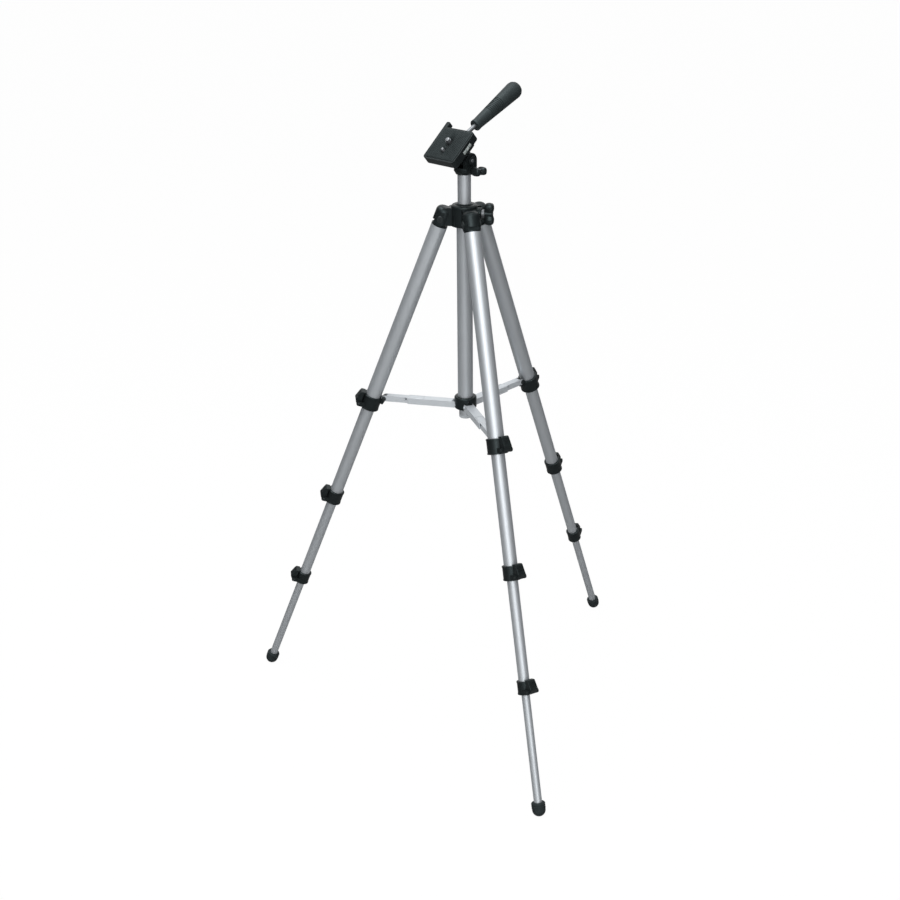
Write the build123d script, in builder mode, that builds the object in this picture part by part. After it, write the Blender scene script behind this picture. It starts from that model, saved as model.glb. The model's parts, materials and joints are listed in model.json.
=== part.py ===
from build123d import *
import os
from math import cos, radians, sin

os.makedirs("parts", exist_ok=True)

# Stance: the column axis is Z, the floor is z = 0, sizes in millimetres and degrees
LEG_AZIMUTHS = (-90.0, 30.0, 150.0)
LEG_SPREAD = 21.67
HINGE_RADIUS = 26.5
HINGE_HEIGHT = 643.9

# Leg tubes, nested from the upper tube down
TUBE_RADIUS = 9.7
TUBE_WALL = 1.0
TUBE_GAP = 0.6
TUBE_OVERLAP = 92.0
TUBE_TOP = 9.5

# Flip-lock collars and their levers
COLLAR_STATION = 255.4
COLLAR_SPANS = (147.9, 135.4)
COLLAR_HEIGHTS = (18.4, 17.4, 16.0)
COLLAR_WALL = 2.1
COLLAR_SEAT = 12.0
COLLAR_CLEARANCE = 0.3
LEVER_TURN = 22.0
LEVER_WIDTH = 11.0
LEVER_REACH = 8.8
LEVER_RISE = 1.9
LEVER_TOP = 5.0
LEVER_HOOK = 1.2
LEVER_PIVOT_OUT = 3.7
LEVER_PIVOT_UP = 4.2
LEVER_TAIL = 2.7
LEVER_SIDE_GAP = 0.25
CHEEK_THICK = 2.2
CHEEK_RADIUS = 2.9
TRUNNION_RADIUS = 1.4
PIVOT_CLEARANCE = 0.06

# Feet
FOOT_RADIUS = 8.0
FOOT_SLEEVE = 9.0
FOOT_FLAT = 0.5

# Leg caps and hinge pins
LUG_WIDTH = 14.0
LUG_RADIUS = 7.4
LUG_SIDE_GAP = 0.3
PIN_RADIUS = 3.0
PLUG_LENGTH = 17.0
CAP_RIM = 1.4

# Crown
CROWN_RISE = 17.4
CROWN_CORE_RADIUS = 15.5
CROWN_EDGE = 3.0
YOKE_RADIUS = 10.3
YOKE_DROP = 7.6
YOKE_RISE = 14.0
YOKE_SHOULDER = 6.0
ARM_WIDTH = 15.6
ARM_TOP = 13.6
ARM_END = 8.0
SOCKET_DEPTH = 10.0
LUG_SWEEP_GAP = 0.7

# Column and guide tube
COLUMN_RADIUS = 7.8
COLUMN_WALL = 1.0
COLUMN_TAIL = 10.0
COLUMN_FIT = 0.05
GUIDE_RADIUS = 9.3
GUIDE_WALL = 1.2
GUIDE_TAIL = 3.0
END_PLUG_THICK = 4.0
END_PLUG_INSERT = 10.0

# Spreader
HUB_PIVOT_RADIUS = 12.6
EAR_ABOVE = 11.9
EAR_OFFSET = 14.2
EYE_RADIUS = 3.2
STRUT_WIDTH = 11.5
STRUT_TOP = 3.7
STRUT_BELOW = 4.0
STRUT_SHEET = 1.0
STRUT_INNER_LENGTH = 60.0
STRUT_OPEN_END = 20.0
STRUT_STEP = 27.3
STRUT_OUTER_LENGTH = 53.0
STRUT_OUTER_BELOW = 3.4
STRUT_NEST_GAP = 0.3
STRUT_NEST_DROP = 2.75
TONGUE_GAP = 0.35
RIVET_RADIUS = 1.6
RIVET_STANDOUT = 0.7
HUB_RADIUS = 13.6
HUB_BELOW = 4.6
HUB_ABOVE = 11.0
HUB_FIT = 0.1
HUB_WINDOW = (2.4, 4.0)

# Wing knobs
COLUMN_KNOB_AZIMUTH = -30.0
COLUMN_KNOB_RISE = 6.8
COLUMN_KNOB_STUD = 3.0
COLUMN_KNOB_WING = (22.5, 9.0, 9.0)
COLUMN_BOSS_RADIUS = 7.0
COLUMN_BOSS_FACE = 20.5
PAN_KNOB_STUD = 2.5
PAN_KNOB_DROP = 10.5
PAN_KNOB_WING = (15.0, 7.5, 9.5)
PAN_BOSS_RADIUS = 5.4
PAN_BOSS_FACE = 15.0
KNOB_NECK = 4.0
KNOB_FACE_GAP = 0.3
STUD_TIP_GAP = 0.6

# Head
HEAD_HEADING = -152.85
TILT_FORWARD = 40.8
TILT_RISE = 51.5
HEAD_DROP = 16.4
HEAD_NECK_RADIUS = 9.6
HEAD_BASE_RADIUS = 11.6
HEAD_FLARE = 3.5
HEAD_FLOOR_DROP = 8.5
HEAD_FLOOR = 1.2
SPIGOT_GAP = 0.4
FORK_OUTER = 12.1
FORK_RADIUS = 8.6
TILT_LUG_RADIUS = 7.9
TILT_LUG_WIDTH = 14.0
AXLE_RADIUS = 3.0
AXLE_HEAD_RADIUS = 5.0
AXLE_HEAD = 1.5
TILT_BLOCK_BOTTOM = 12.0
TILT_BLOCK_WIDTH = 30.0
TILT_BLOCK_BACK = 14.0
TILT_BLOCK_FRONT = 4.0

# Platform and what it carries
PLATFORM_TOP = 32.4
PLATFORM_THICK = 11.4
PLATFORM_LENGTH = 45.0
PLATFORM_WIDTH = 49.4
PLATFORM_FORWARD = 5.7
PLATFORM_CORNER = 4.0
PAD_THICK = 1.0
PAD_MARGIN = 2.0
SCREW_RADIUS = 3.175
SCREW_BACK = 3.0
SCREW_STANDOUT = 5.2
SCREW_GAP = 0.3
SCREW_NECK = 2.7
SCREW_SHOULDER = 0.2
SCREW_TIP = 0.5
WHEEL_RADIUS = 8.6
WHEEL_HEIGHT = 4.6
LOCATOR_AHEAD = 12.3
LOCATOR_RADIUS = 2.0
LOCATOR_STANDOUT = 3.6
LOCATOR_FLANGE = 3.0
VIAL_RADIUS = 2.5
VIAL_LENGTH = 14.5
VIAL_BACK = 2.8
VIAL_DOWN = 6.5
VIAL_STANDOUT = 1.1
LIP_LENGTH = 7.2
LIP_WIDTH = 5.5
LIP_DEPTH = 6.0

# Handle
HANDLE_UP = 20.0
HANDLE_SIDE = -6.0
HANDLE_DROOP = 14.0
ROD_RADIUS = 2.5
ROD_START = 9.0
SOCKET_RADIUS = 5.0
SOCKET_END = 23.0
GRIP_START = 41.0
GRIP_END = 121.0
GRIP_NEAR_RADIUS = 7.0
GRIP_FAR_RADIUS = 10.2

UP = Vector(0, 0, 1)
TUBE_RADII = [TUBE_RADIUS - i * (TUBE_WALL + TUBE_GAP) for i in range(4)]
STATIONS = [COLLAR_STATION, COLLAR_STATION + COLLAR_SPANS[0], COLLAR_STATION + sum(COLLAR_SPANS)]
FOOT_STATION = (HINGE_HEIGHT - FOOT_RADIUS + FOOT_FLAT) / cos(radians(LEG_SPREAD))
CROWN_TOP = HINGE_HEIGHT + CROWN_RISE
CROWN_BOTTOM = HINGE_HEIGHT - YOKE_DROP
COLUMN_KNOB_HEIGHT = HINGE_HEIGHT + COLUMN_KNOB_RISE
EAR_STATION = COLLAR_STATION - EAR_ABOVE
LEG_SIN = sin(radians(LEG_SPREAD))
LEG_COS = cos(radians(LEG_SPREAD))
STRUT_HEIGHT = HINGE_HEIGHT - EAR_STATION * LEG_COS - EAR_OFFSET * LEG_SIN
FLANGE_INSIDE = STRUT_WIDTH / 2 - STRUT_SHEET
NEST_HALF = FLANGE_INSIDE - STRUT_NEST_GAP
HUB_TONGUE = FLANGE_INSIDE - TONGUE_GAP
EAR_TONGUE = NEST_HALF - STRUT_SHEET - TONGUE_GAP
GUIDE_BOTTOM = STRUT_HEIGHT - GUIDE_TAIL
COLUMN_BOTTOM = GUIDE_BOTTOM - COLUMN_TAIL
TILT_HEIGHT = CROWN_TOP + TILT_RISE
HEAD_BOTTOM = TILT_HEIGHT - HEAD_DROP
COLUMN_TOP = TILT_HEIGHT - HEAD_FLOOR_DROP - HEAD_FLOOR - SPIGOT_GAP
PLATFORM_BOTTOM = PLATFORM_TOP - PLATFORM_THICK
PLATE_TOP = PLATFORM_TOP - PAD_THICK
SCREW_AT = PLATFORM_FORWARD - SCREW_BACK
LOCATOR_AT = SCREW_AT + LOCATOR_AHEAD


def outward(azimuth):
    """Horizontal unit vector away from the column."""
    return Vector(cos(radians(azimuth)), sin(radians(azimuth)), 0)


def radial_plane(azimuth, radius=0.0, height=0.0):
    """Upright plane through the column axis: x outward, y up."""
    out = outward(azimuth)
    return Plane(origin=out * radius + UP * height, x_dir=out, z_dir=out.cross(UP))


def leg_plane(azimuth, station):
    """Plane across a leg, this far down from its hinge: x away from the column, z up the leg."""
    out = outward(azimuth)
    along = out * -sin(radians(LEG_SPREAD)) + UP * cos(radians(LEG_SPREAD))
    across = out * cos(radians(LEG_SPREAD)) + UP * sin(radians(LEG_SPREAD))
    hinge = out * HINGE_RADIUS + UP * HINGE_HEIGHT
    return Plane(origin=hinge - along * station, x_dir=across, z_dir=along)


def side_plane(plane):
    """Plane along the z of another one: same x, its y is that z."""
    return Plane(origin=plane.origin, x_dir=plane.x_dir, z_dir=plane.x_dir.cross(plane.z_dir))


def lever_plane(azimuth, station):
    """Side plane of a collar's lever: x towards the lever, y up the leg."""
    leg = leg_plane(azimuth, station)
    way = leg.x_dir * cos(radians(LEVER_TURN)) + leg.y_dir * sin(radians(LEVER_TURN))
    return Plane(origin=leg.origin, x_dir=way, z_dir=way.cross(leg.z_dir))


def finish(built, name):
    """Label a solid and write its STEP file."""
    built.label = name
    export_step(built, "parts/" + name + ".step")


def make_tube(azimuth, top, bottom, radius, bore, name):
    """A leg tube between two stations of its leg."""
    with BuildPart() as tube:
        with BuildSketch(leg_plane(azimuth, bottom)):
            Circle(radius)
            Circle(bore, mode=Mode.SUBTRACT)
        extrude(amount=bottom - top)
    finish(tube.part, name)


def make_cap(azimuth, name):
    """Hinge lug, rim and plug at the top of a leg."""
    with BuildPart() as cap:
        with BuildSketch(side_plane(leg_plane(azimuth, 0))):
            Circle(LUG_RADIUS)
            with Locations((0, -TUBE_TOP / 2)):
                Rectangle(2 * LUG_RADIUS - 2, TUBE_TOP)
        extrude(amount=LUG_WIDTH / 2, both=True)
        with BuildSketch(leg_plane(azimuth, TUBE_TOP)):
            Circle(TUBE_RADIUS)
        extrude(amount=CAP_RIM)
        with BuildSketch(leg_plane(azimuth, TUBE_TOP + PLUG_LENGTH)):
            Circle(TUBE_RADIUS - TUBE_WALL)
        extrude(amount=PLUG_LENGTH)
        with BuildSketch(side_plane(leg_plane(azimuth, 0))):
            Circle(PIN_RADIUS + PIVOT_CLEARANCE)
        extrude(amount=LUG_WIDTH, both=True, mode=Mode.SUBTRACT)
    finish(cap.part, name)


def make_collar(azimuth, index, name):
    """Clamp ring with the cheeks of its lever, and on the first one the ears of the strut."""
    height = COLLAR_HEIGHTS[index]
    ring = TUBE_RADII[index] + COLLAR_WALL
    base = leg_plane(azimuth, STATIONS[index] + height / 2)
    lever = lever_plane(azimuth, STATIONS[index])
    pivot = (ring + LEVER_PIVOT_OUT, LEVER_PIVOT_UP - height / 2)
    inside = LEVER_WIDTH / 2 + LEVER_SIDE_GAP
    with BuildPart() as collar:
        with BuildSketch(base):
            Circle(ring)
        extrude(amount=height)
        fillet(collar.edges().filter_by(GeomType.CIRCLE), COLLAR_WALL * 0.3)
        for side in (-1, 1):
            with BuildSketch(lever.offset(side * (inside + CHEEK_THICK / 2))):
                with Locations(pivot):
                    Circle(CHEEK_RADIUS)
                with Locations((pivot[0] / 2, pivot[1])):
                    Rectangle(pivot[0], 2 * CHEEK_RADIUS)
            extrude(amount=CHEEK_THICK / 2, both=True)
        with BuildSketch(lever):
            with Locations(pivot):
                Circle(TRUNNION_RADIUS + PIVOT_CLEARANCE)
        extrude(amount=inside + 2 * CHEEK_THICK, both=True, mode=Mode.SUBTRACT)
        if index == 0:
            tongue = side_plane(leg_plane(azimuth, STATIONS[0]))
            with BuildSketch(tongue):
                with BuildLine():
                    Polyline(
                        (-EAR_OFFSET - EYE_RADIUS, EAR_ABOVE),
                        (-EAR_OFFSET - 0.3 * EYE_RADIUS, height / 2 - 2 * EYE_RADIUS),
                        (-TUBE_RADIUS / 2, height / 2 - 2 * EYE_RADIUS),
                        (-TUBE_RADIUS / 2, height / 2),
                        (-EAR_OFFSET + EYE_RADIUS, EAR_ABOVE),
                        close=True,
                    )
                make_face()
                with Locations((-EAR_OFFSET, EAR_ABOVE)):
                    Circle(EYE_RADIUS)
            extrude(amount=EAR_TONGUE, both=True)
            with BuildSketch(tongue):
                with Locations((-EAR_OFFSET, EAR_ABOVE)):
                    Circle(RIVET_RADIUS + PIVOT_CLEARANCE)
            extrude(amount=STRUT_WIDTH, both=True, mode=Mode.SUBTRACT)
        with BuildSketch(leg_plane(azimuth, STATIONS[index] - height / 2 + COLLAR_SEAT)):
            Circle(TUBE_RADII[index])
        extrude(amount=COLLAR_SEAT + EAR_ABOVE + EYE_RADIUS, mode=Mode.SUBTRACT)
        with BuildSketch(base):
            Circle(TUBE_RADII[index + 1] + COLLAR_CLEARANCE)
        extrude(amount=height, mode=Mode.SUBTRACT)
    finish(collar.part, name)


def make_lever(azimuth, index, name):
    """Flip lever, hooked over the top of its collar, with the trunnions it turns on."""
    half = COLLAR_HEIGHTS[index] / 2
    ring = TUBE_RADII[index] + COLLAR_WALL
    pivot_up = LEVER_PIVOT_UP - half
    plane = lever_plane(azimuth, STATIONS[index])
    with BuildPart() as lever:
        with BuildSketch(plane) as outline:
            with BuildLine():
                Polyline(
                    (ring + 0.8, half + 0.5),
                    (ring + 0.8, pivot_up + 1.3 * LEVER_TAIL),
                    (ring + 0.6 * LEVER_PIVOT_OUT, pivot_up - 0.9 * LEVER_TAIL),
                    (ring + 1.3 * LEVER_PIVOT_OUT, pivot_up - LEVER_TAIL),
                    (ring + 0.82 * LEVER_REACH, pivot_up + 0.2),
                    (ring + LEVER_REACH, 0.3 * pivot_up),
                    (ring + 0.84 * LEVER_REACH, 0.3 * half),
                    (ring + LEVER_TOP, half + 0.6),
                    (ring + 0.8 * LEVER_TOP, half + LEVER_RISE),
                    (ring - LEVER_HOOK, half + LEVER_RISE),
                    (ring - LEVER_HOOK, half + 0.5),
                    close=True,
                )
            make_face()
            fillet(outline.vertices(), 0.6)
        extrude(amount=LEVER_WIDTH / 2, both=True)
        fillet(lever.edges().filter_by(Axis(plane.origin, plane.z_dir), reverse=True), 0.4)
        with BuildSketch(plane):
            with Locations((ring + LEVER_PIVOT_OUT, pivot_up)):
                Circle(TRUNNION_RADIUS)
        extrude(amount=LEVER_WIDTH / 2 + LEVER_SIDE_GAP + CHEEK_THICK, both=True)
    finish(lever.part, name)


def make_foot(azimuth, name):
    """Rubber boot with a round end, worn flat where it meets the floor."""
    with BuildPart() as foot:
        with BuildSketch(leg_plane(azimuth, FOOT_STATION)):
            Circle(FOOT_RADIUS)
        extrude(amount=FOOT_SLEEVE)
        fillet(foot.edges().filter_by(GeomType.CIRCLE).sort_by(Axis.Z)[-1:], 1.2)
        with Locations(leg_plane(azimuth, FOOT_STATION).location):
            Sphere(FOOT_RADIUS)
        with BuildSketch(leg_plane(azimuth, FOOT_STATION)):
            Circle(TUBE_RADII[3])
        extrude(amount=FOOT_SLEEVE, mode=Mode.SUBTRACT)
        with BuildSketch(Plane.XY):
            Circle(3 * HINGE_HEIGHT)
        extrude(amount=-4 * FOOT_RADIUS, mode=Mode.SUBTRACT)
    finish(foot.part, name)


def make_strut_inner(azimuth, name):
    """Channel on the hub, open below, its top cut away at both ends, with the rivet it turns on."""
    plane = radial_plane(azimuth, HUB_PIVOT_RADIUS, STRUT_HEIGHT)
    start = EYE_RADIUS + TONGUE_GAP
    end = STRUT_INNER_LENGTH - STRUT_OPEN_END
    with BuildPart() as strut:
        with BuildSketch(plane):
            Circle(STRUT_TOP)
            with Locations((STRUT_INNER_LENGTH / 2, (STRUT_TOP - STRUT_BELOW) / 2)):
                Rectangle(STRUT_INNER_LENGTH, STRUT_TOP + STRUT_BELOW)
        extrude(amount=STRUT_WIDTH / 2, both=True)
        with BuildSketch(plane):
            with Locations((STRUT_INNER_LENGTH / 2, 0)):
                Rectangle(2 * STRUT_INNER_LENGTH, 4 * STRUT_BELOW)
            with Locations(((start + end) / 2, STRUT_TOP - STRUT_SHEET / 2)):
                Rectangle(end - start, STRUT_SHEET, mode=Mode.SUBTRACT)
        extrude(amount=FLANGE_INSIDE, both=True, mode=Mode.SUBTRACT)
        with BuildSketch(plane):
            Circle(RIVET_RADIUS)
        extrude(amount=STRUT_WIDTH / 2 + RIVET_STANDOUT, both=True)
    finish(strut.part, name)


def make_strut_outer(azimuth, name):
    """Narrower channel on the leg that slides in the first one, with the rivet it turns on."""
    out = outward(azimuth)
    eye = side_plane(leg_plane(azimuth, EAR_STATION))
    pivot = eye.from_local_coords((-EAR_OFFSET, 0, 0))
    plane = Plane(origin=pivot, x_dir=out, z_dir=out.cross(UP))
    top = STRUT_TOP - STRUT_SHEET - STRUT_NEST_DROP
    start = EYE_RADIUS + TONGUE_GAP
    with BuildPart() as strut:
        with BuildSketch(plane):
            Circle(EYE_RADIUS)
            with Locations((-STRUT_OUTER_LENGTH / 2, (top - STRUT_OUTER_BELOW) / 2)):
                Rectangle(STRUT_OUTER_LENGTH, top + STRUT_OUTER_BELOW)
            with Locations((-STRUT_STEP / 2, (STRUT_TOP - STRUT_OUTER_BELOW) / 2)):
                Rectangle(STRUT_STEP, STRUT_TOP + STRUT_OUTER_BELOW)
        extrude(amount=NEST_HALF, both=True)
        with BuildSketch(plane):
            with Locations((-STRUT_OUTER_LENGTH / 2, 0)):
                Rectangle(2 * STRUT_OUTER_LENGTH, 4 * STRUT_BELOW)
            with Locations((-(STRUT_OUTER_LENGTH + start) / 2, top - STRUT_SHEET / 2)):
                Rectangle(STRUT_OUTER_LENGTH - start, STRUT_SHEET, mode=Mode.SUBTRACT)
            with Locations((-(STRUT_STEP + start) / 2, STRUT_TOP - STRUT_SHEET / 2)):
                Rectangle(STRUT_STEP - start, STRUT_SHEET, mode=Mode.SUBTRACT)
            with Locations((STRUT_SHEET / 2 - STRUT_STEP, (STRUT_TOP + top) / 2)):
                Rectangle(STRUT_SHEET, STRUT_TOP - top, mode=Mode.SUBTRACT)
            with Locations((0, STRUT_TOP + top - STRUT_SHEET)):
                Rectangle(2 * STRUT_STEP - 2 * STRUT_SHEET, 2 * STRUT_TOP - 2 * STRUT_SHEET)
            with Locations((-(STRUT_STEP + start) / 2, STRUT_TOP - STRUT_SHEET / 2)):
                Rectangle(STRUT_STEP - start, STRUT_SHEET, mode=Mode.SUBTRACT)
        extrude(amount=NEST_HALF - STRUT_SHEET, both=True, mode=Mode.SUBTRACT)
        with BuildSketch(plane):
            Circle(RIVET_RADIUS)
        extrude(amount=NEST_HALF + RIVET_STANDOUT, both=True)
    finish(strut.part, name)


def make_wing_knob(plane, stud, tip, face, wing, name):
    """Wing knob on a stud; the plane's z points out along the stud."""
    with BuildPart() as knob:
        with BuildSketch(plane.offset(tip)):
            Circle(stud)
        extrude(amount=face - tip)
        with BuildSketch(plane.offset(face)):
            Circle(wing[1] * 0.62)
        extrude(amount=KNOB_NECK)
        with BuildSketch(plane.offset(face + KNOB_NECK)):
            SlotOverall(wing[0], wing[1])
        extrude(amount=wing[2])
        rims = knob.faces().sort_by(Axis(plane.origin, plane.z_dir))[-1].edges()
        fillet(rims, wing[1] * 0.25)
    finish(knob.part, name)


for number, turn in enumerate(LEG_AZIMUTHS, start=1):
    leg = "leg_" + str(number) + "_"
    make_cap(turn, leg + "cap")
    tops = [TUBE_TOP]
    ends = []
    for i in range(3):
        ends.append(STATIONS[i] - COLLAR_HEIGHTS[i] / 2 + COLLAR_SEAT)
        tops.append(ends[i] - TUBE_OVERLAP)
    ends.append(FOOT_STATION)
    for i in range(4):
        piece = "upper_tube" if i == 0 else "tube_" + str(i + 1)
        make_tube(turn, tops[i], ends[i], TUBE_RADII[i], TUBE_RADII[i] - TUBE_WALL, leg + piece)
    for i in range(3):
        make_collar(turn, i, leg + "collar_" + str(i + 1))
        make_lever(turn, i, leg + "lever_" + str(i + 1))
    make_foot(turn, leg + "foot")
    make_strut_inner(turn, "strut_" + str(number) + "_inner")
    make_strut_outer(turn, "strut_" + str(number) + "_outer")

boss = Plane(
    origin=UP * COLUMN_KNOB_HEIGHT,
    x_dir=UP,
    z_dir=outward(COLUMN_KNOB_AZIMUTH),
)
with BuildPart() as crown:
    for turn in LEG_AZIMUTHS:
        yoke = leg_plane(turn, 0)
        with BuildSketch(side_plane(yoke)) as outline:
            with Locations((0, -YOKE_DROP)):
                Rectangle(YOKE_RADIUS, YOKE_DROP + YOKE_RISE, align=(Align.MIN, Align.MIN))
            corner = outline.vertices().sort_by(Axis.Y)[-2:].sort_by(Axis.X)[-1]
            fillet(corner, YOKE_SHOULDER)
        revolve(axis=Axis(yoke.origin, yoke.z_dir))
        with BuildSketch(radial_plane(turn)):
            with BuildLine():
                Polyline(
                    (0, CROWN_BOTTOM),
                    (0, HINGE_HEIGHT + ARM_TOP),
                    (HINGE_RADIUS - ARM_END, HINGE_HEIGHT + ARM_TOP),
                    (HINGE_RADIUS, HINGE_HEIGHT + ARM_END),
                    (HINGE_RADIUS, CROWN_BOTTOM),
                    close=True,
                )
            make_face()
        extrude(amount=ARM_WIDTH / 2, both=True)
    with BuildSketch(Plane.XY.offset(CROWN_BOTTOM)):
        Circle(CROWN_CORE_RADIUS)
    extrude(amount=CROWN_TOP - CROWN_BOTTOM)
    rim = crown.edges().filter_by(GeomType.CIRCLE).sort_by(Axis.Z)[-1:]
    fillet(rim, CROWN_EDGE)
    with BuildSketch(boss):
        Circle(COLUMN_BOSS_RADIUS)
    extrude(amount=COLUMN_BOSS_FACE)
    with BuildSketch(Plane.XY.offset(CROWN_BOTTOM)):
        Circle(3 * HINGE_RADIUS)
    extrude(amount=-4 * YOKE_RADIUS, mode=Mode.SUBTRACT)
    for turn in LEG_AZIMUTHS:
        with BuildSketch(radial_plane(turn)):
            with Locations((HINGE_RADIUS, HINGE_HEIGHT)):
                Circle(LUG_RADIUS + LUG_SWEEP_GAP)
            with Locations((HINGE_RADIUS + LUG_RADIUS, HINGE_HEIGHT - 2 * LUG_RADIUS)):
                Rectangle(4 * LUG_RADIUS + 2 * LUG_SWEEP_GAP, 4 * LUG_RADIUS)
        extrude(amount=LUG_WIDTH / 2 + LUG_SIDE_GAP, both=True, mode=Mode.SUBTRACT)
        with BuildSketch(radial_plane(turn)):
            with Locations((HINGE_RADIUS, HINGE_HEIGHT)):
                Circle(PIN_RADIUS)
        extrude(amount=2 * YOKE_RADIUS, both=True, mode=Mode.SUBTRACT)
    with BuildSketch(Plane.XY.offset(CROWN_BOTTOM)):
        Circle(GUIDE_RADIUS)
    extrude(amount=SOCKET_DEPTH, mode=Mode.SUBTRACT)
    with BuildSketch(Plane.XY.offset(CROWN_BOTTOM)):
        Circle(COLUMN_RADIUS + COLUMN_FIT)
    extrude(amount=2 * CROWN_TOP - 2 * CROWN_BOTTOM, mode=Mode.SUBTRACT)
    with BuildSketch(boss):
        Circle(COLUMN_KNOB_STUD + PIVOT_CLEARANCE)
    extrude(amount=2 * COLUMN_BOSS_FACE, mode=Mode.SUBTRACT)
finish(crown.part, "crown")

with BuildPart() as pins:
    for turn in LEG_AZIMUTHS:
        with BuildSketch(radial_plane(turn)):
            with Locations((HINGE_RADIUS, HINGE_HEIGHT)):
                Circle(PIN_RADIUS)
        extrude(amount=YOKE_RADIUS, both=True)
finish(pins.part, "leg_hinge_pins")

with BuildPart() as guide_tube:
    with BuildSketch(Plane.XY.offset(GUIDE_BOTTOM)):
        Circle(GUIDE_RADIUS)
        Circle(GUIDE_RADIUS - GUIDE_WALL, mode=Mode.SUBTRACT)
    extrude(amount=CROWN_BOTTOM + SOCKET_DEPTH - GUIDE_BOTTOM)
finish(guide_tube.part, "guide_tube")

sweep = STRUT_BELOW + TONGUE_GAP
slot_middle = (HUB_TONGUE + STRUT_WIDTH / 2 + TONGUE_GAP) / 2
slot_half = (STRUT_WIDTH / 2 + TONGUE_GAP - HUB_TONGUE) / 2
with BuildPart() as hub:
    with BuildSketch(Plane.XY.offset(STRUT_HEIGHT - HUB_BELOW)):
        Circle(HUB_RADIUS)
    extrude(amount=HUB_BELOW + HUB_ABOVE)
    fillet(hub.edges().filter_by(GeomType.CIRCLE), 2.0)
    for turn in LEG_AZIMUTHS:
        slot = radial_plane(turn, 0.0, STRUT_HEIGHT)
        with BuildSketch(slot):
            with Locations((HUB_PIVOT_RADIUS, 0)):
                Circle(EYE_RADIUS)
            with Locations((HUB_PIVOT_RADIUS - EYE_RADIUS / 2, 0)):
                Rectangle(EYE_RADIUS, 2 * EYE_RADIUS)
        extrude(amount=HUB_TONGUE, both=True)
        for side in (-1, 1):
            with BuildSketch(slot.offset(side * slot_middle)):
                with Locations((0, sweep)):
                    Rectangle(2 * HUB_RADIUS, 2 * HUB_RADIUS, align=(Align.MIN, Align.MAX))
            extrude(amount=slot_half, both=True, mode=Mode.SUBTRACT)
        with BuildSketch(slot):
            with Locations((HUB_PIVOT_RADIUS, 0)):
                Circle(RIVET_RADIUS + PIVOT_CLEARANCE)
        extrude(amount=HUB_RADIUS, both=True, mode=Mode.SUBTRACT)
        with BuildSketch(slot):
            with Locations((HUB_RADIUS, sweep + HUB_WINDOW[1] / 2)):
                Rectangle(2 * HUB_RADIUS, HUB_WINDOW[1])
        extrude(amount=HUB_WINDOW[0] / 2, both=True, mode=Mode.SUBTRACT)
    with BuildSketch(Plane.XY.offset(STRUT_HEIGHT - HUB_BELOW)):
        Circle(GUIDE_RADIUS + HUB_FIT)
    extrude(amount=HUB_BELOW + HUB_ABOVE, mode=Mode.SUBTRACT)
finish(hub.part, "spreader_hub")

with BuildPart() as column:
    with BuildSketch(Plane.XY.offset(COLUMN_BOTTOM)):
        Circle(COLUMN_RADIUS)
        Circle(COLUMN_RADIUS - COLUMN_WALL, mode=Mode.SUBTRACT)
    extrude(amount=COLUMN_TOP - COLUMN_BOTTOM)
finish(column.part, "centre_column")

with BuildPart() as end_plug:
    with BuildSketch(Plane.XY.offset(COLUMN_BOTTOM)):
        Circle(COLUMN_RADIUS)
    extrude(amount=-END_PLUG_THICK)
    fillet(end_plug.edges().filter_by(GeomType.CIRCLE).sort_by(Axis.Z)[:1], 1.0)
    with BuildSketch(Plane.XY.offset(COLUMN_BOTTOM)):
        Circle(COLUMN_RADIUS - COLUMN_WALL)
    extrude(amount=END_PLUG_INSERT)
finish(end_plug.part, "column_end_plug")

make_wing_knob(
    boss,
    COLUMN_KNOB_STUD,
    COLUMN_RADIUS + STUD_TIP_GAP,
    COLUMN_BOSS_FACE + KNOB_FACE_GAP,
    COLUMN_KNOB_WING,
    "column_lock_knob",
)

ahead = outward(HEAD_HEADING)
left = UP.cross(ahead)
axis_point = UP * TILT_HEIGHT
head = Plane(origin=axis_point, x_dir=ahead, z_dir=UP)
head_side = Plane(origin=axis_point, x_dir=ahead, z_dir=ahead.cross(UP))
lens = ahead * cos(radians(TILT_FORWARD)) - UP * sin(radians(TILT_FORWARD))
normal = ahead * sin(radians(TILT_FORWARD)) + UP * cos(radians(TILT_FORWARD))
tilted = Plane(origin=axis_point, x_dir=lens, z_dir=normal)
tilted_side = Plane(origin=axis_point, x_dir=lens, z_dir=lens.cross(normal))
pan_boss = Plane(origin=axis_point - UP * PAN_KNOB_DROP, x_dir=ahead, z_dir=left)

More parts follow.
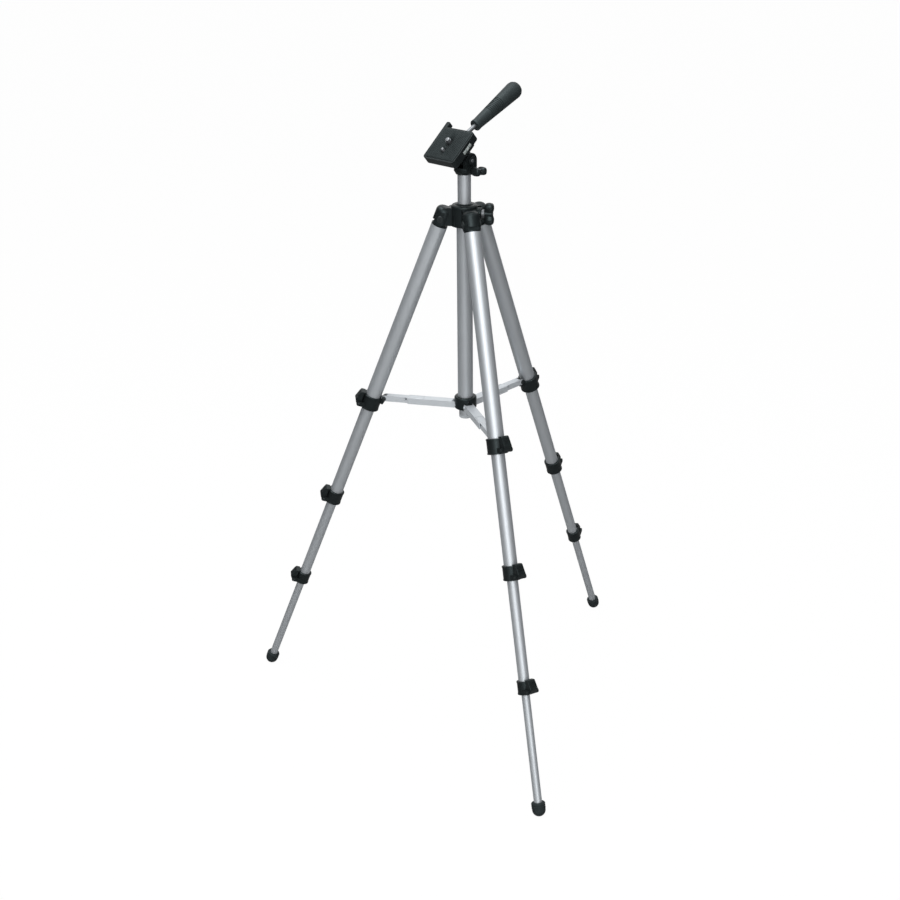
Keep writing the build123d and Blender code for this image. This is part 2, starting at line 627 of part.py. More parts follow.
fork_inside = TILT_LUG_WIDTH / 2 + LUG_SIDE_GAP
floor_top = TILT_HEIGHT - HEAD_FLOOR_DROP
with BuildPart() as head_base:
    with BuildSketch(Plane.XY.offset(HEAD_BOTTOM)):
        Circle(HEAD_NECK_RADIUS)
    with BuildSketch(Plane.XY.offset(HEAD_BOTTOM + HEAD_FLARE)):
        Circle(HEAD_BASE_RADIUS)
    loft()
    with BuildSketch(Plane.XY.offset(HEAD_BOTTOM + HEAD_FLARE)):
        Circle(HEAD_BASE_RADIUS)
    extrude(amount=floor_top - HEAD_BOTTOM - HEAD_FLARE)
    for side in (-1, 1):
        with BuildSketch(head_side.offset(side * (fork_inside + FORK_OUTER) / 2)):
            Circle(FORK_RADIUS)
            with Locations((0, -HEAD_FLOOR_DROP / 2)):
                Rectangle(2 * FORK_RADIUS, HEAD_FLOOR_DROP)
        extrude(amount=(FORK_OUTER - fork_inside) / 2, both=True)
    with BuildSketch(pan_boss):
        Circle(PAN_BOSS_RADIUS)
    extrude(amount=PAN_BOSS_FACE)
    with BuildSketch(head_side):
        with Locations((0, -HEAD_FLOOR_DROP)):
            Rectangle(4 * FORK_RADIUS, 4 * FORK_RADIUS, align=(Align.CENTER, Align.MIN))
    extrude(amount=fork_inside, both=True, mode=Mode.SUBTRACT)
    with BuildSketch(head_side):
        Circle(AXLE_RADIUS + PIVOT_CLEARANCE)
    extrude(amount=2 * FORK_OUTER, both=True, mode=Mode.SUBTRACT)
    with BuildSketch(Plane.XY.offset(HEAD_BOTTOM)):
        Circle(COLUMN_RADIUS + PIVOT_CLEARANCE)
    extrude(amount=COLUMN_TOP + SPIGOT_GAP - HEAD_BOTTOM, mode=Mode.SUBTRACT)
    with BuildSketch(pan_boss):
        Circle(PAN_KNOB_STUD + PIVOT_CLEARANCE)
    extrude(amount=2 * PAN_BOSS_FACE, mode=Mode.SUBTRACT)
finish(head_base.part, "head_base")

make_wing_knob(
    pan_boss,
    PAN_KNOB_STUD,
    COLUMN_RADIUS + STUD_TIP_GAP,
    PAN_BOSS_FACE + KNOB_FACE_GAP,
    PAN_KNOB_WING,
    "pan_lock_knob",
)

handle_foot = tilted.from_local_coords((0, HANDLE_SIDE, HANDLE_UP))
droop = radians(HANDLE_DROOP)
handle_way = lens * -cos(droop) - normal * sin(droop)
handle = Plane(origin=handle_foot, x_dir=left, z_dir=handle_way)
with BuildPart() as tilt_body:
    with BuildSketch(tilted_side):
        Circle(TILT_LUG_RADIUS)
        with Locations((0, TILT_BLOCK_BOTTOM / 2 + 1)):
            Rectangle(2 * TILT_LUG_RADIUS, TILT_BLOCK_BOTTOM + 2)
    extrude(amount=TILT_LUG_WIDTH / 2, both=True)
    with BuildSketch(tilted.offset(TILT_BLOCK_BOTTOM)):
        with Locations(((TILT_BLOCK_FRONT - TILT_BLOCK_BACK) / 2, 0)):
            RectangleRounded(TILT_BLOCK_FRONT + TILT_BLOCK_BACK, TILT_BLOCK_WIDTH, 2.5)
    extrude(amount=PLATFORM_BOTTOM - TILT_BLOCK_BOTTOM)
    with BuildSketch(handle):
        Circle(SOCKET_RADIUS)
    extrude(amount=SOCKET_END)
    with BuildSketch(tilted.offset(PLATFORM_BOTTOM)):
        Circle(2 * PLATFORM_LENGTH)
    extrude(amount=PLATFORM_TOP, mode=Mode.SUBTRACT)
    with BuildSketch(tilted_side):
        Circle(AXLE_RADIUS)
    extrude(amount=FORK_OUTER, both=True, mode=Mode.SUBTRACT)
    with BuildSketch(handle.offset(ROD_START)):
        Circle(ROD_RADIUS + PIVOT_CLEARANCE)
    extrude(amount=2 * SOCKET_END, mode=Mode.SUBTRACT)
finish(tilt_body.part, "tilt_body")

with BuildPart() as axle:
    with BuildSketch(tilted_side):
        Circle(AXLE_RADIUS)
    extrude(amount=FORK_OUTER + LUG_SIDE_GAP, both=True)
    for side in (-1, 1):
        with BuildSketch(tilted_side.offset(side * (FORK_OUTER + LUG_SIDE_GAP))):
            Circle(AXLE_HEAD_RADIUS)
        extrude(amount=side * AXLE_HEAD)
finish(axle.part, "tilt_axle")

vial_line = Plane(
    origin=tilted.from_local_coords(
        (
            PLATFORM_FORWARD - VIAL_BACK - VIAL_LENGTH / 2,
            PLATFORM_WIDTH / 2 + VIAL_STANDOUT - VIAL_RADIUS,
            PLATFORM_TOP - VIAL_DOWN,
        )
    ),
    x_dir=left,
    z_dir=lens,
)
flange_top = LOCATOR_STANDOUT + PLATFORM_BOTTOM + 1.6
with BuildPart() as platform:
    with BuildSketch(tilted.offset(PLATFORM_BOTTOM)):
        with Locations((PLATFORM_FORWARD, 0)):
            RectangleRounded(PLATFORM_LENGTH, PLATFORM_WIDTH, PLATFORM_CORNER)
    extrude(amount=PLATE_TOP - PLATFORM_BOTTOM)
    under = platform.faces().sort_by(Axis(tilted.origin, tilted.z_dir))[0].edges()
    fillet(under, 1.5)
    with BuildSketch(tilted.offset(PLATE_TOP)):
        with Locations(
            (
                PLATFORM_FORWARD - PLATFORM_LENGTH / 2 - LIP_LENGTH / 2 + PLATFORM_CORNER / 2,
                LIP_WIDTH / 2 - PLATFORM_WIDTH / 2,
            )
        ):
            RectangleRounded(LIP_LENGTH + PLATFORM_CORNER, LIP_WIDTH, 1.5)
    extrude(amount=-LIP_DEPTH)
    with BuildSketch(tilted.offset(PLATFORM_BOTTOM)):
        with Locations((SCREW_AT, 0)):
            Circle(WHEEL_RADIUS + 2 * SCREW_GAP)
    extrude(amount=WHEEL_HEIGHT + 2 * SCREW_GAP, mode=Mode.SUBTRACT)
    with BuildSketch(tilted.offset(PLATFORM_BOTTOM)):
        with Locations((SCREW_AT, 0)):
            Circle(SCREW_RADIUS + SCREW_GAP)
        with Locations((LOCATOR_AT, 0)):
            Circle(LOCATOR_RADIUS + PIVOT_CLEARANCE)
    extrude(amount=PLATFORM_THICK, mode=Mode.SUBTRACT)
    with BuildSketch(tilted.offset(PLATFORM_BOTTOM)):
        with Locations((LOCATOR_AT, 0)):
            Circle(LOCATOR_FLANGE + SCREW_GAP)
    extrude(amount=flange_top + PIVOT_CLEARANCE - PLATFORM_BOTTOM, mode=Mode.SUBTRACT)
    with BuildSketch(vial_line):
        Circle(VIAL_RADIUS)
    extrude(amount=VIAL_LENGTH, mode=Mode.SUBTRACT)
finish(platform.part, "platform")

with BuildPart() as pad:
    with BuildSketch(tilted.offset(PLATE_TOP)):
        with Locations((PLATFORM_FORWARD, 0)):
            RectangleRounded(
                PLATFORM_LENGTH - 2 * PAD_MARGIN,
                PLATFORM_WIDTH - 2 * PAD_MARGIN,
                PLATFORM_CORNER - PAD_MARGIN / 2,
            )
        with Locations((SCREW_AT, 0)):
            Circle(SCREW_RADIUS + SCREW_GAP, mode=Mode.SUBTRACT)
        with Locations((LOCATOR_AT, 0)):
            Circle(LOCATOR_RADIUS + SCREW_GAP, mode=Mode.SUBTRACT)
    extrude(amount=PAD_THICK)
finish(pad.part, "platform_pad")

with BuildPart() as screw:
    with BuildSketch(tilted.offset(PLATFORM_BOTTOM + SCREW_GAP)):
        with Locations((SCREW_AT, 0)):
            Circle(WHEEL_RADIUS)
    extrude(amount=WHEEL_HEIGHT)
    with BuildSketch(tilted.offset(PLATFORM_BOTTOM + SCREW_GAP)):
        with Locations((SCREW_AT, 0)):
            Circle(SCREW_NECK)
    extrude(amount=PLATFORM_THICK - SCREW_GAP + SCREW_SHOULDER)
    with BuildSketch(tilted.offset(PLATFORM_TOP + SCREW_SHOULDER)):
        with Locations((SCREW_AT, 0)):
            Circle(SCREW_RADIUS)
    extrude(amount=SCREW_STANDOUT - SCREW_SHOULDER)
    tip = screw.faces().sort_by(Axis(tilted.origin, tilted.z_dir))[-1].edges()
    chamfer(tip, SCREW_TIP)
finish(screw.part, "camera_screw")

with BuildPart() as locator:
    with BuildSketch(tilted.offset(flange_top - 1.6)):
        with Locations((LOCATOR_AT, 0)):
            Circle(LOCATOR_FLANGE)
    extrude(amount=1.6)
    with BuildSketch(tilted.offset(flange_top)):
        with Locations((LOCATOR_AT, 0)):
            Circle(LOCATOR_RADIUS)
    extrude(amount=PLATFORM_TOP + LOCATOR_STANDOUT - flange_top)
    tip = locator.faces().sort_by(Axis(tilted.origin, tilted.z_dir))[-1].edges()
    fillet(tip, 0.8)
finish(locator.part, "locating_pin")

with BuildPart() as vial:
    with BuildSketch(vial_line):
        Circle(VIAL_RADIUS)
    extrude(amount=VIAL_LENGTH)
finish(vial.part, "level_vial")

with BuildPart() as rod:
    with BuildSketch(handle.offset(ROD_START)):
        Circle(ROD_RADIUS)
    extrude(amount=(GRIP_START + GRIP_END) / 2 - ROD_START)
finish(rod.part, "handle_rod")

with BuildPart() as grip:
    with BuildSketch(Plane(origin=handle_foot, x_dir=left, z_dir=left.cross(handle_way))):
        with BuildLine():
            Polyline(
                (0, GRIP_START),
                (GRIP_NEAR_RADIUS + 0.6, GRIP_START),
                (GRIP_NEAR_RADIUS + 0.6, GRIP_START + 3),
                (GRIP_NEAR_RADIUS, GRIP_START + 4),
                (GRIP_FAR_RADIUS, GRIP_END - 9),
            )
            Spline(
                (GRIP_FAR_RADIUS, GRIP_END - 9),
                (0.72 * GRIP_FAR_RADIUS, GRIP_END - 2),
                (0, GRIP_END),
                tangents=((0.05, 1), (-1, 0)),
            )
            Line((0, GRIP_END), (0, GRIP_START))
        make_face()
    revolve(axis=Axis(handle_foot, handle_way))
    with BuildSketch(handle):
        Circle(ROD_RADIUS)
    extrude(amount=(GRIP_START + GRIP_END) / 2, mode=Mode.SUBTRACT)
finish(grip.part, "handle_grip")
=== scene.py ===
import json
import logging
import math
from abc import ABC, abstractmethod
from collections.abc import Callable, Sequence
from dataclasses import dataclass, field
from enum import Enum
from typing import Any, Optional, Union

import bpy
from mathutils import Matrix, Vector


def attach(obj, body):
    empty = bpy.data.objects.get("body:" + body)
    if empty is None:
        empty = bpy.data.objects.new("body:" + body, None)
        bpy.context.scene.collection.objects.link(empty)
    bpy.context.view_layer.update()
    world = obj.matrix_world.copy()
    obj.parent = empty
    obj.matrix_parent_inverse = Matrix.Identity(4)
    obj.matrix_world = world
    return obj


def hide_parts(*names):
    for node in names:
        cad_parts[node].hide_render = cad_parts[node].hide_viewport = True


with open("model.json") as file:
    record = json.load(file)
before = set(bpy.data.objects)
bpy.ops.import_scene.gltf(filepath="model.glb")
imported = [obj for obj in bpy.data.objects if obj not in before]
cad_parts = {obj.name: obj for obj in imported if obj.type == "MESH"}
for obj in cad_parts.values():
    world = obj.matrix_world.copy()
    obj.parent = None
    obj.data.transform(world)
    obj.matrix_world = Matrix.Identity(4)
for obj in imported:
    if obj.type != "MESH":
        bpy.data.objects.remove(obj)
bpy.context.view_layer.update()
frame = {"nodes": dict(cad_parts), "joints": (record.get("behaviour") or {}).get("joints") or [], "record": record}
JOINTS = {joint["name"]: joint for joint in frame["joints"]}
LOG = logging.getLogger("tripod")

Pair = tuple[float, float]
Triple = tuple[float, float, float]
Colour = tuple[float, float, float, float]
Outline = Sequence[Pair]
Piece = bpy.types.Object
UP = Vector((0.0, 0.0, 1.0))
LEGS = (1, 2, 3)
BOTH_SIDES = (-1.0, 1.0)


def joint_at(name: str) -> Vector:
    """Where a joint of the frame sits."""
    return Vector(JOINTS[name]["pos_m"])


def joint_way(name: str) -> Vector:
    """Direction of a joint's axis."""
    return Vector(JOINTS[name]["axis"]).normalized()


def moved(x: float = 0.0, y: float = 0.0, z: float = 0.0) -> Matrix:
    """A shift without a turn."""
    return Matrix.Translation((x, y, z))


def bead(low: float, height: float, radius: float, proud: float) -> Outline:
    """Section of a ring that stands proud of a round piece.

    Args:
        low: Height of its lower edge.
        height: Its own height.
        radius: Radius of the surface it sits on.
        proud: How far it stands out, and how far its edges are eased.

    Returns:
        Height and radius of each corner.
    """
    high, inside, outside = low + height, radius - proud, radius + proud
    return ((low, inside), (low + proud, outside), (high - proud, outside), (high, inside))


def standing(at: Vector, x_way: Vector, z_way: Vector) -> Matrix:
    """Place and turn of a piece modelled upright at the origin.

    Args:
        at: Where its origin goes.
        x_way: Unit direction of its X.
        z_way: Unit direction of its Z.

    Returns:
        The matrix that puts it there.
    """
    y_way = z_way.cross(x_way)
    return Matrix.Translation(at) @ Matrix((x_way, y_way, z_way)).transposed().to_4x4()


@dataclass(frozen=True)
class LegFrame:
    """Directions and stations of one leg, read from its joints."""

    number: int

    @property
    def hinge(self) -> Vector:
        """Middle of the hinge pin."""
        return joint_at(f"leg_{self.number}_fold")

    @property
    def sideways(self) -> Vector:
        """Direction of the hinge pin."""
        return joint_way(f"leg_{self.number}_fold")

    @property
    def along(self) -> Vector:
        """Direction up the leg."""
        return joint_way(f"leg_{self.number}_slide_2")

    @property
    def across(self) -> Vector:
        """Direction away from the column, square to the leg."""
        return self.sideways.cross(self.along)

    def body(self, section: int) -> str:
        """Name of the body of a tube section, from 1."""
        return f"leg_{self.number}" if section == 1 else f"leg_{self.number}_section_{section}"

    def station(self, down: float, turn: float = 0.0) -> Matrix:
        """Place on the leg's axis, X turned from the outside about the leg.

        Args:
            down: Distance from the hinge in metres.
            turn: Turn about the leg in degrees.

        Returns:
            A matrix with Z up the leg.
        """
        swung = Matrix.Rotation(math.radians(turn), 3, self.along) @ self.across
        return standing(self.hinge - self.along * down, swung, self.along)


class Value:
    """A shader socket that takes part in Python arithmetic."""

    def __init__(self, tree: "ShaderTree", socket: bpy.types.NodeSocket) -> None:
        """Wrap one output socket of a tree."""
        self.tree = tree
        self.socket = socket

    def _with(self, operation: str, *operands: Any, clamp: bool = False) -> "Value":
        """Add a Math node.

        Args:
            operation: Name of the Math node's operation.
            operands: Values or numbers, in socket order.
            clamp: Whether the result stays between 0 and 1.

        Returns:
            The node's result.
        """
        settings = {"operation": operation, "use_clamp": clamp}
        return self.tree.node("ShaderNodeMath", settings, dict(enumerate(operands)))

    def __add__(self, other: Any) -> "Value":
        """Sum."""
        return self._with("ADD", self, other)

    __radd__ = __add__

    def __sub__(self, other: Any) -> "Value":
        """Difference."""
        return self._with("SUBTRACT", self, other)

    def __rsub__(self, other: Any) -> "Value":
        """Difference, the other way round."""
        return self._with("SUBTRACT", other, self)

    def __mul__(self, other: Any) -> "Value":
        """Product."""
        return self._with("MULTIPLY", self, other)

    __rmul__ = __mul__

    def above(self, edge: float) -> "Value":
        """1 where the value is above the edge, else 0."""
        return self._with("GREATER_THAN", self, edge)

    def clamped(self) -> "Value":
        """The value kept between 0 and 1."""
        return self._with("ADD", self, 0.0, clamp=True)


class ShaderTree:
    """The nodes of a material or of the world."""

    def __init__(self, owner: Union[bpy.types.Material, bpy.types.World]) -> None:
        """Start with an empty tree.

        Args:
            owner: The material or world it belongs to.
        """
        self.owner = owner
        owner.use_nodes = True
        self.nodes = owner.node_tree.nodes
        self.links = owner.node_tree.links
        self.nodes.clear()

    @classmethod
    def material(cls, name: str) -> "ShaderTree":
        """Start the tree of a new material."""
        return cls(bpy.data.materials.new(name))

    def node(
        self,
        kind: str,
        settings: Optional[dict[str, Any]] = None,
        inputs: Optional[dict[Any, Any]] = None,
        output: Any = 0,
    ) -> Value:
        """Add any node.

        Args:
            kind: The node's type.
            settings: Its properties.
            inputs: Numbers, colours or Values by socket name or index.
            output: Name or index of the socket to hand back.

        Returns:
            The chosen output; None where the node has none.
        """
        made = self.nodes.new(kind)
        for key, setting in (settings or {}).items():
            setattr(made, key, setting)
        for key, given in (inputs or {}).items():
            if isinstance(given, Value):
                self.links.new(given.socket, made.inputs[key])
            else:
                made.inputs[key].default_value = given
        return Value(self, made.outputs[output]) if made.outputs else None

    def place(self, turn: Triple = (0, 0, 0), stretch: Triple = (1, 1, 1)) -> Value:
        """Object coordinates in a turned and stretched frame.

        Args:
            turn: Euler angles of the frame in radians.
            stretch: Length of a unit along each of its axes.

        Returns:
            The coordinate vector.
        """
        where = self.node("ShaderNodeTexCoord", output="Object")
        inputs = {"Vector": where, "Rotation": turn, "Scale": stretch}
        return self.node("ShaderNodeMapping", {"vector_type": "TEXTURE"}, inputs)

    def noise(
        self, vector: Value, scale: float, detail: float = 3.0, roughness: float = 0.55
    ) -> Value:
        """Noise between 0 and 1 at a scale per metre."""
        inputs = {"Vector": vector, "Scale": scale, "Detail": detail, "Roughness": roughness}
        return self.node("ShaderNodeTexNoise", {"noise_dimensions": "3D"}, inputs, "Fac")

    def blend(self, amount: Any, first: Any, second: Any) -> Value:
        """Mix two colours.

        Args:
            amount: Share of the second colour.
            first: Colour at 0.
            second: Colour at 1.

        Returns:
            The mixed colour.
        """
        inputs = {0: amount, 6: first, 7: second}
        return self.node("ShaderNodeMix", {"data_type": "RGBA"}, inputs, 2)

    def bump(self, height: Value, strength: float, distance: float) -> Value:
        """Surface normal bumped by a height."""
        inputs = {"Height": height, "Strength": strength, "Distance": distance}
        return self.node("ShaderNodeBump", {}, inputs, "Normal")

    def surface(self, **sockets: Any) -> bpy.types.Material:
        """Close the tree with a Principled shader.

        Args:
            sockets: Values by socket name, with underscores for spaces.

        Returns:
            The finished material.
        """
        inputs = {name.replace("_", " "): value for name, value in sockets.items()}
        shader = self.node("ShaderNodeBsdfPrincipled", {}, inputs, "BSDF")
        self.output(shader)
        return self.owner

    def output(self, shader: Value, kind: str = "Material") -> None:
        """Close the tree with a shader."""
        self.node(f"ShaderNodeOutput{kind}", {}, {"Surface": shader})

    def path(self, kind: str) -> Value:
        """1 for rays of a kind, else 0."""
        return self.node("ShaderNodeLightPath", output=f"Is {kind} Ray")


def tinted(level: float, tint: Triple = (1.0, 1.0, 1.0)) -> Colour:
    """A grey of a level, tinted."""
    return (level * tint[0], level * tint[1], level * tint[2], 1.0)


def greys(level: float, low: float, high: float, tint: Triple) -> tuple[Colour, Colour]:
    """Two shares of a tinted grey."""
    return tinted(level * low, tint), tinted(level * high, tint)


COOL = (0.945, 1.0, 1.05)
INKY = (0.80, 1.0, 1.04)


@dataclass(frozen=True)
class DrawnTube:
    """Satin anodised tube, drawn lengthwise."""

    name: str
    level: float = 0.46
    turn: Triple = (0.0, 0.0, 0.0)

    def material(self) -> bpy.types.Material:
        """Build the finish with drawing streaks along the tube."""
        tree = ShaderTree.material(self.name)
        streak = tree.noise(tree.place(self.turn, (1.0, 1.0, 90.0)), 2600.0, 3.0, 0.6)
        fine = tree.noise(tree.place(), 9000.0, 2.0)
        cloud = tree.noise(tree.place(self.turn, (1.0, 1.0, 3.0)), 34.0, 4.0)
        tone = (streak * 0.35 + fine * 0.25 + cloud * 0.4).clamped()
        colour = tree.blend(tone, *greys(self.level, 0.88, 1.1, COOL))
        rough = 0.4 + streak * 0.1 + cloud * 0.07
        normal = tree.bump(streak, 0.07, 0.00005)
        return tree.surface(Base_Color=colour, Metallic=0.72, Roughness=rough, Normal=normal)


@dataclass(frozen=True)
class PressedSheet:
    """Bright pressed aluminium sheet of the spreader."""

    name: str
    level: float = 0.62

    def material(self) -> bpy.types.Material:
        """Build the finish with rolling marks and handling scuffs."""
        tree = ShaderTree.material(self.name)
        rolled = tree.noise(tree.place((0, 0, 0.3), (12.0, 1.0, 1.0)), 1500.0, 3.0)
        cloud = tree.noise(tree.place(), 70.0, 4.0)
        rubbed = tree.noise(tree.place((0.4, 0.2, 0.9), (1.0, 10.0, 1.0)), 900.0, 5.0, 0.7)
        scuff = rubbed.above(0.68)
        tone = (rolled * 0.4 + cloud * 0.6).clamped()
        colour = tree.blend(tone, *greys(self.level, 0.88, 1.06, COOL))
        rough = 0.4 + rolled * 0.1 + scuff * 0.12
        normal = tree.bump(rolled, 0.12, 0.0001)
        return tree.surface(Base_Color=colour, Metallic=0.6, Roughness=rough, Normal=normal)


@dataclass(frozen=True)
class Moulding:
    """Moulded plastic with a fine spark grain."""

    name: str
    level: float = 0.006
    rough: float = 0.34
    grain: float = 5200.0
    depth: float = 0.2
    shine: float = 0.23
    tint: Triple = INKY

    def material(self) -> bpy.types.Material:
        """Build the finish with grain, handling sheen and a little dust."""
        tree = ShaderTree.material(self.name)
        where = tree.place()
        inputs = {"Vector": where, "Scale": self.grain}
        grain = tree.node("ShaderNodeTexVoronoi", {"feature": "F1"}, inputs, "Distance")
        cloud = tree.noise(where, 45.0, 4.0)
        dust = tree.noise(where, 800.0, 5.0, 0.7)
        tone = (cloud * 0.6 + dust.above(0.64) * 0.25 + grain * 0.2).clamped()
        colour = tree.blend(tone, *greys(self.level, 1.0, 2.2, self.tint))
        rough = self.rough + cloud * 0.12 - grain * 0.06
        normal = tree.bump(grain, self.depth, 0.00012)
        sheen = {"Specular_IOR_Level": self.shine, "Specular_Tint": tinted(1.0, self.tint)}
        return tree.surface(Base_Color=colour, Roughness=rough, Normal=normal, **sheen)


@dataclass(frozen=True)
class SoftRubber:
    """Matt rubber of feet, pad and grip."""

    name: str
    level: float = 0.009
    rough: float = 0.58
    shine: float = 0.22

    def material(self) -> bpy.types.Material:
        """Build the finish with pores and a bloom of pale dust."""
        tree = ShaderTree.material(self.name)
        where = tree.place()
        pores = tree.noise(where, 3800.0, 3.0)
        bloom = tree.noise(where, 95.0, 5.0, 0.65)
        tone = (bloom * 0.8 + pores * 0.2).clamped()
        colour = tree.blend(tone, *greys(self.level, 1.0, 2.4, INKY))
        rough = self.rough + bloom * 0.16
        normal = tree.bump(pores, 0.3, 0.00015)
        sheen = {"Specular_IOR_Level": self.shine, "Specular_Tint": tinted(1.0, INKY)}
        return tree.surface(Base_Color=colour, Roughness=rough, Normal=normal, **sheen)


@dataclass(frozen=True)
class TurnedSteel:
    """Turned steel of screws, pins and rod, plated or blackened."""

    name: str
    level: float = 0.2
    rough: float = 0.46
    metallic: float = 1.0
    tint: Triple = COOL

    def material(self) -> bpy.types.Material:
        """Build the finish with turning marks and dull spots."""
        tree = ShaderTree.material(self.name)
        marks = tree.noise(tree.place((0.2, 0.1, 0.0), (1.0, 1.0, 7.0)), 4200.0, 3.0)
        dull = tree.noise(tree.place(), 260.0, 4.0)
        tone = (marks * 0.5 + dull * 0.5).clamped()
        colour = tree.blend(tone, *greys(self.level, 0.8, 1.15, self.tint))
        rough = self.rough + dull * 0.12 + marks * 0.06
        normal = tree.bump(marks, 0.1, 0.00005)
        shine = {"Metallic": self.metallic, "Roughness": rough}
        return tree.surface(Base_Color=colour, Normal=normal, **shine)


@dataclass(frozen=True)
class VialLiquid:
    """Pale liquid behind clear plastic."""

    name: str
    dim: Colour = (0.15, 0.17, 0.165, 1.0)
    bright: Colour = (0.23, 0.26, 0.25, 1.0)

    def material(self) -> bpy.types.Material:
        """Build the finish with a slightly uneven tint under a clear coat."""
        tree = ShaderTree.material(self.name)
        cloud = tree.noise(tree.place(), 300.0, 2.0)
        colour = tree.blend(cloud, self.dim, self.bright)
        rough = 0.06 + cloud * 0.05
        coat = {"Coat_Weight": 0.4, "Coat_Roughness": 0.04}
        return tree.surface(Base_Color=colour, Roughness=rough, **coat)


def leg_turn(number: int) -> Triple:
    """Euler angles of a leg's own frame."""
    return tuple(LegFrame(number).station(0.0).to_euler())


class Finish(Enum):
    """The finishes of the tripod's pieces, each with the record's slot it belongs to."""

    LEG_1 = (DrawnTube("anodised_leg_1", turn=leg_turn(1)), "tube_aluminium")
    LEG_2 = (DrawnTube("anodised_leg_2", turn=leg_turn(2)), "tube_aluminium")
    LEG_3 = (DrawnTube("anodised_leg_3", turn=leg_turn(3)), "tube_aluminium")
    COLUMN = (DrawnTube("anodised_column"), "tube_aluminium")
    SHEET = (PressedSheet("pressed_sheet"), "strut_aluminium")
    BODY = (Moulding("moulded_black"), "moulded_black")
    LEVER = (
        Moulding("lever_black", level=0.007, rough=0.28, grain=7000.0, depth=0.12),
        "lever_black",
    )
    FOOT = (SoftRubber("foot_rubber"), "foot_rubber")
    PAD = (SoftRubber("pad_rubber", level=0.008), "pad_rubber")
    GRIP = (SoftRubber("grip_rubber", level=0.012, rough=0.46), "grip_rubber")
    STEEL = (TurnedSteel("plated_steel"), "bright_steel")
    BLACK_STEEL = (
        TurnedSteel("blackened_steel", level=0.03, rough=0.36, metallic=0.6, tint=INKY),
        "black_steel",
    )
    PLUG = (Moulding("plug_grey", level=0.2, rough=0.5, tint=COOL), "plug_grey")
    VIAL = (VialLiquid("vial_liquid"), "vial_glass")
    BUBBLE = (
        VialLiquid("vial_bubble", dim=(0.27, 0.3, 0.29, 1.0), bright=(0.34, 0.37, 0.36, 1.0)),
        "vial_glass",
    )
    MARK = (Moulding("vial_mark", level=0.05, rough=0.3), "moulded_black")

    @property
    def slot(self) -> str:
        """The record's material slot that this finish belongs to."""
        return self.value[1]

    @classmethod
    def of_slot(cls, slot: str) -> "Finish":
        """The first finish of a slot."""
        return next(finish for finish in cls if finish.slot == slot)


class Dresser:
    """Builds each finish once and puts it on nodes and pieces."""

    def __init__(self) -> None:
        """Start with no material built."""
        self.made: dict[Finish, bpy.types.Material] = {}

    def wear(self, shown: Piece, finish: Finish) -> None:
        """Put a finish on an object.

        Args:
            shown: The object.
            finish: What it wears.
        """
        if finish not in self.made:
            self.made[finish] = finish.value[0].material()
        shown.data.materials.clear()
        shown.data.materials.append(self.made[finish])

    @staticmethod
    def finish_of(node: str, slot: str) -> Finish:
        """Choose a node's finish.

        Args:
            node: Name of a CAD node.
            slot: Its material slot in the record.

        Returns:
            The finish it wears.
        """
        if slot == "tube_aluminium":
            return Finish[node[:5].upper()] if node.startswith("leg_") else Finish.COLUMN
        return Finish.of_slot(slot)

    def dress_nodes(self) -> None:
        """Put a finish on every CAD node."""
        for part in frame["record"]["subparts"]:
            node = part["node"]
            self.wear(frame["nodes"][node], self.finish_of(node, part["material_slot"]))


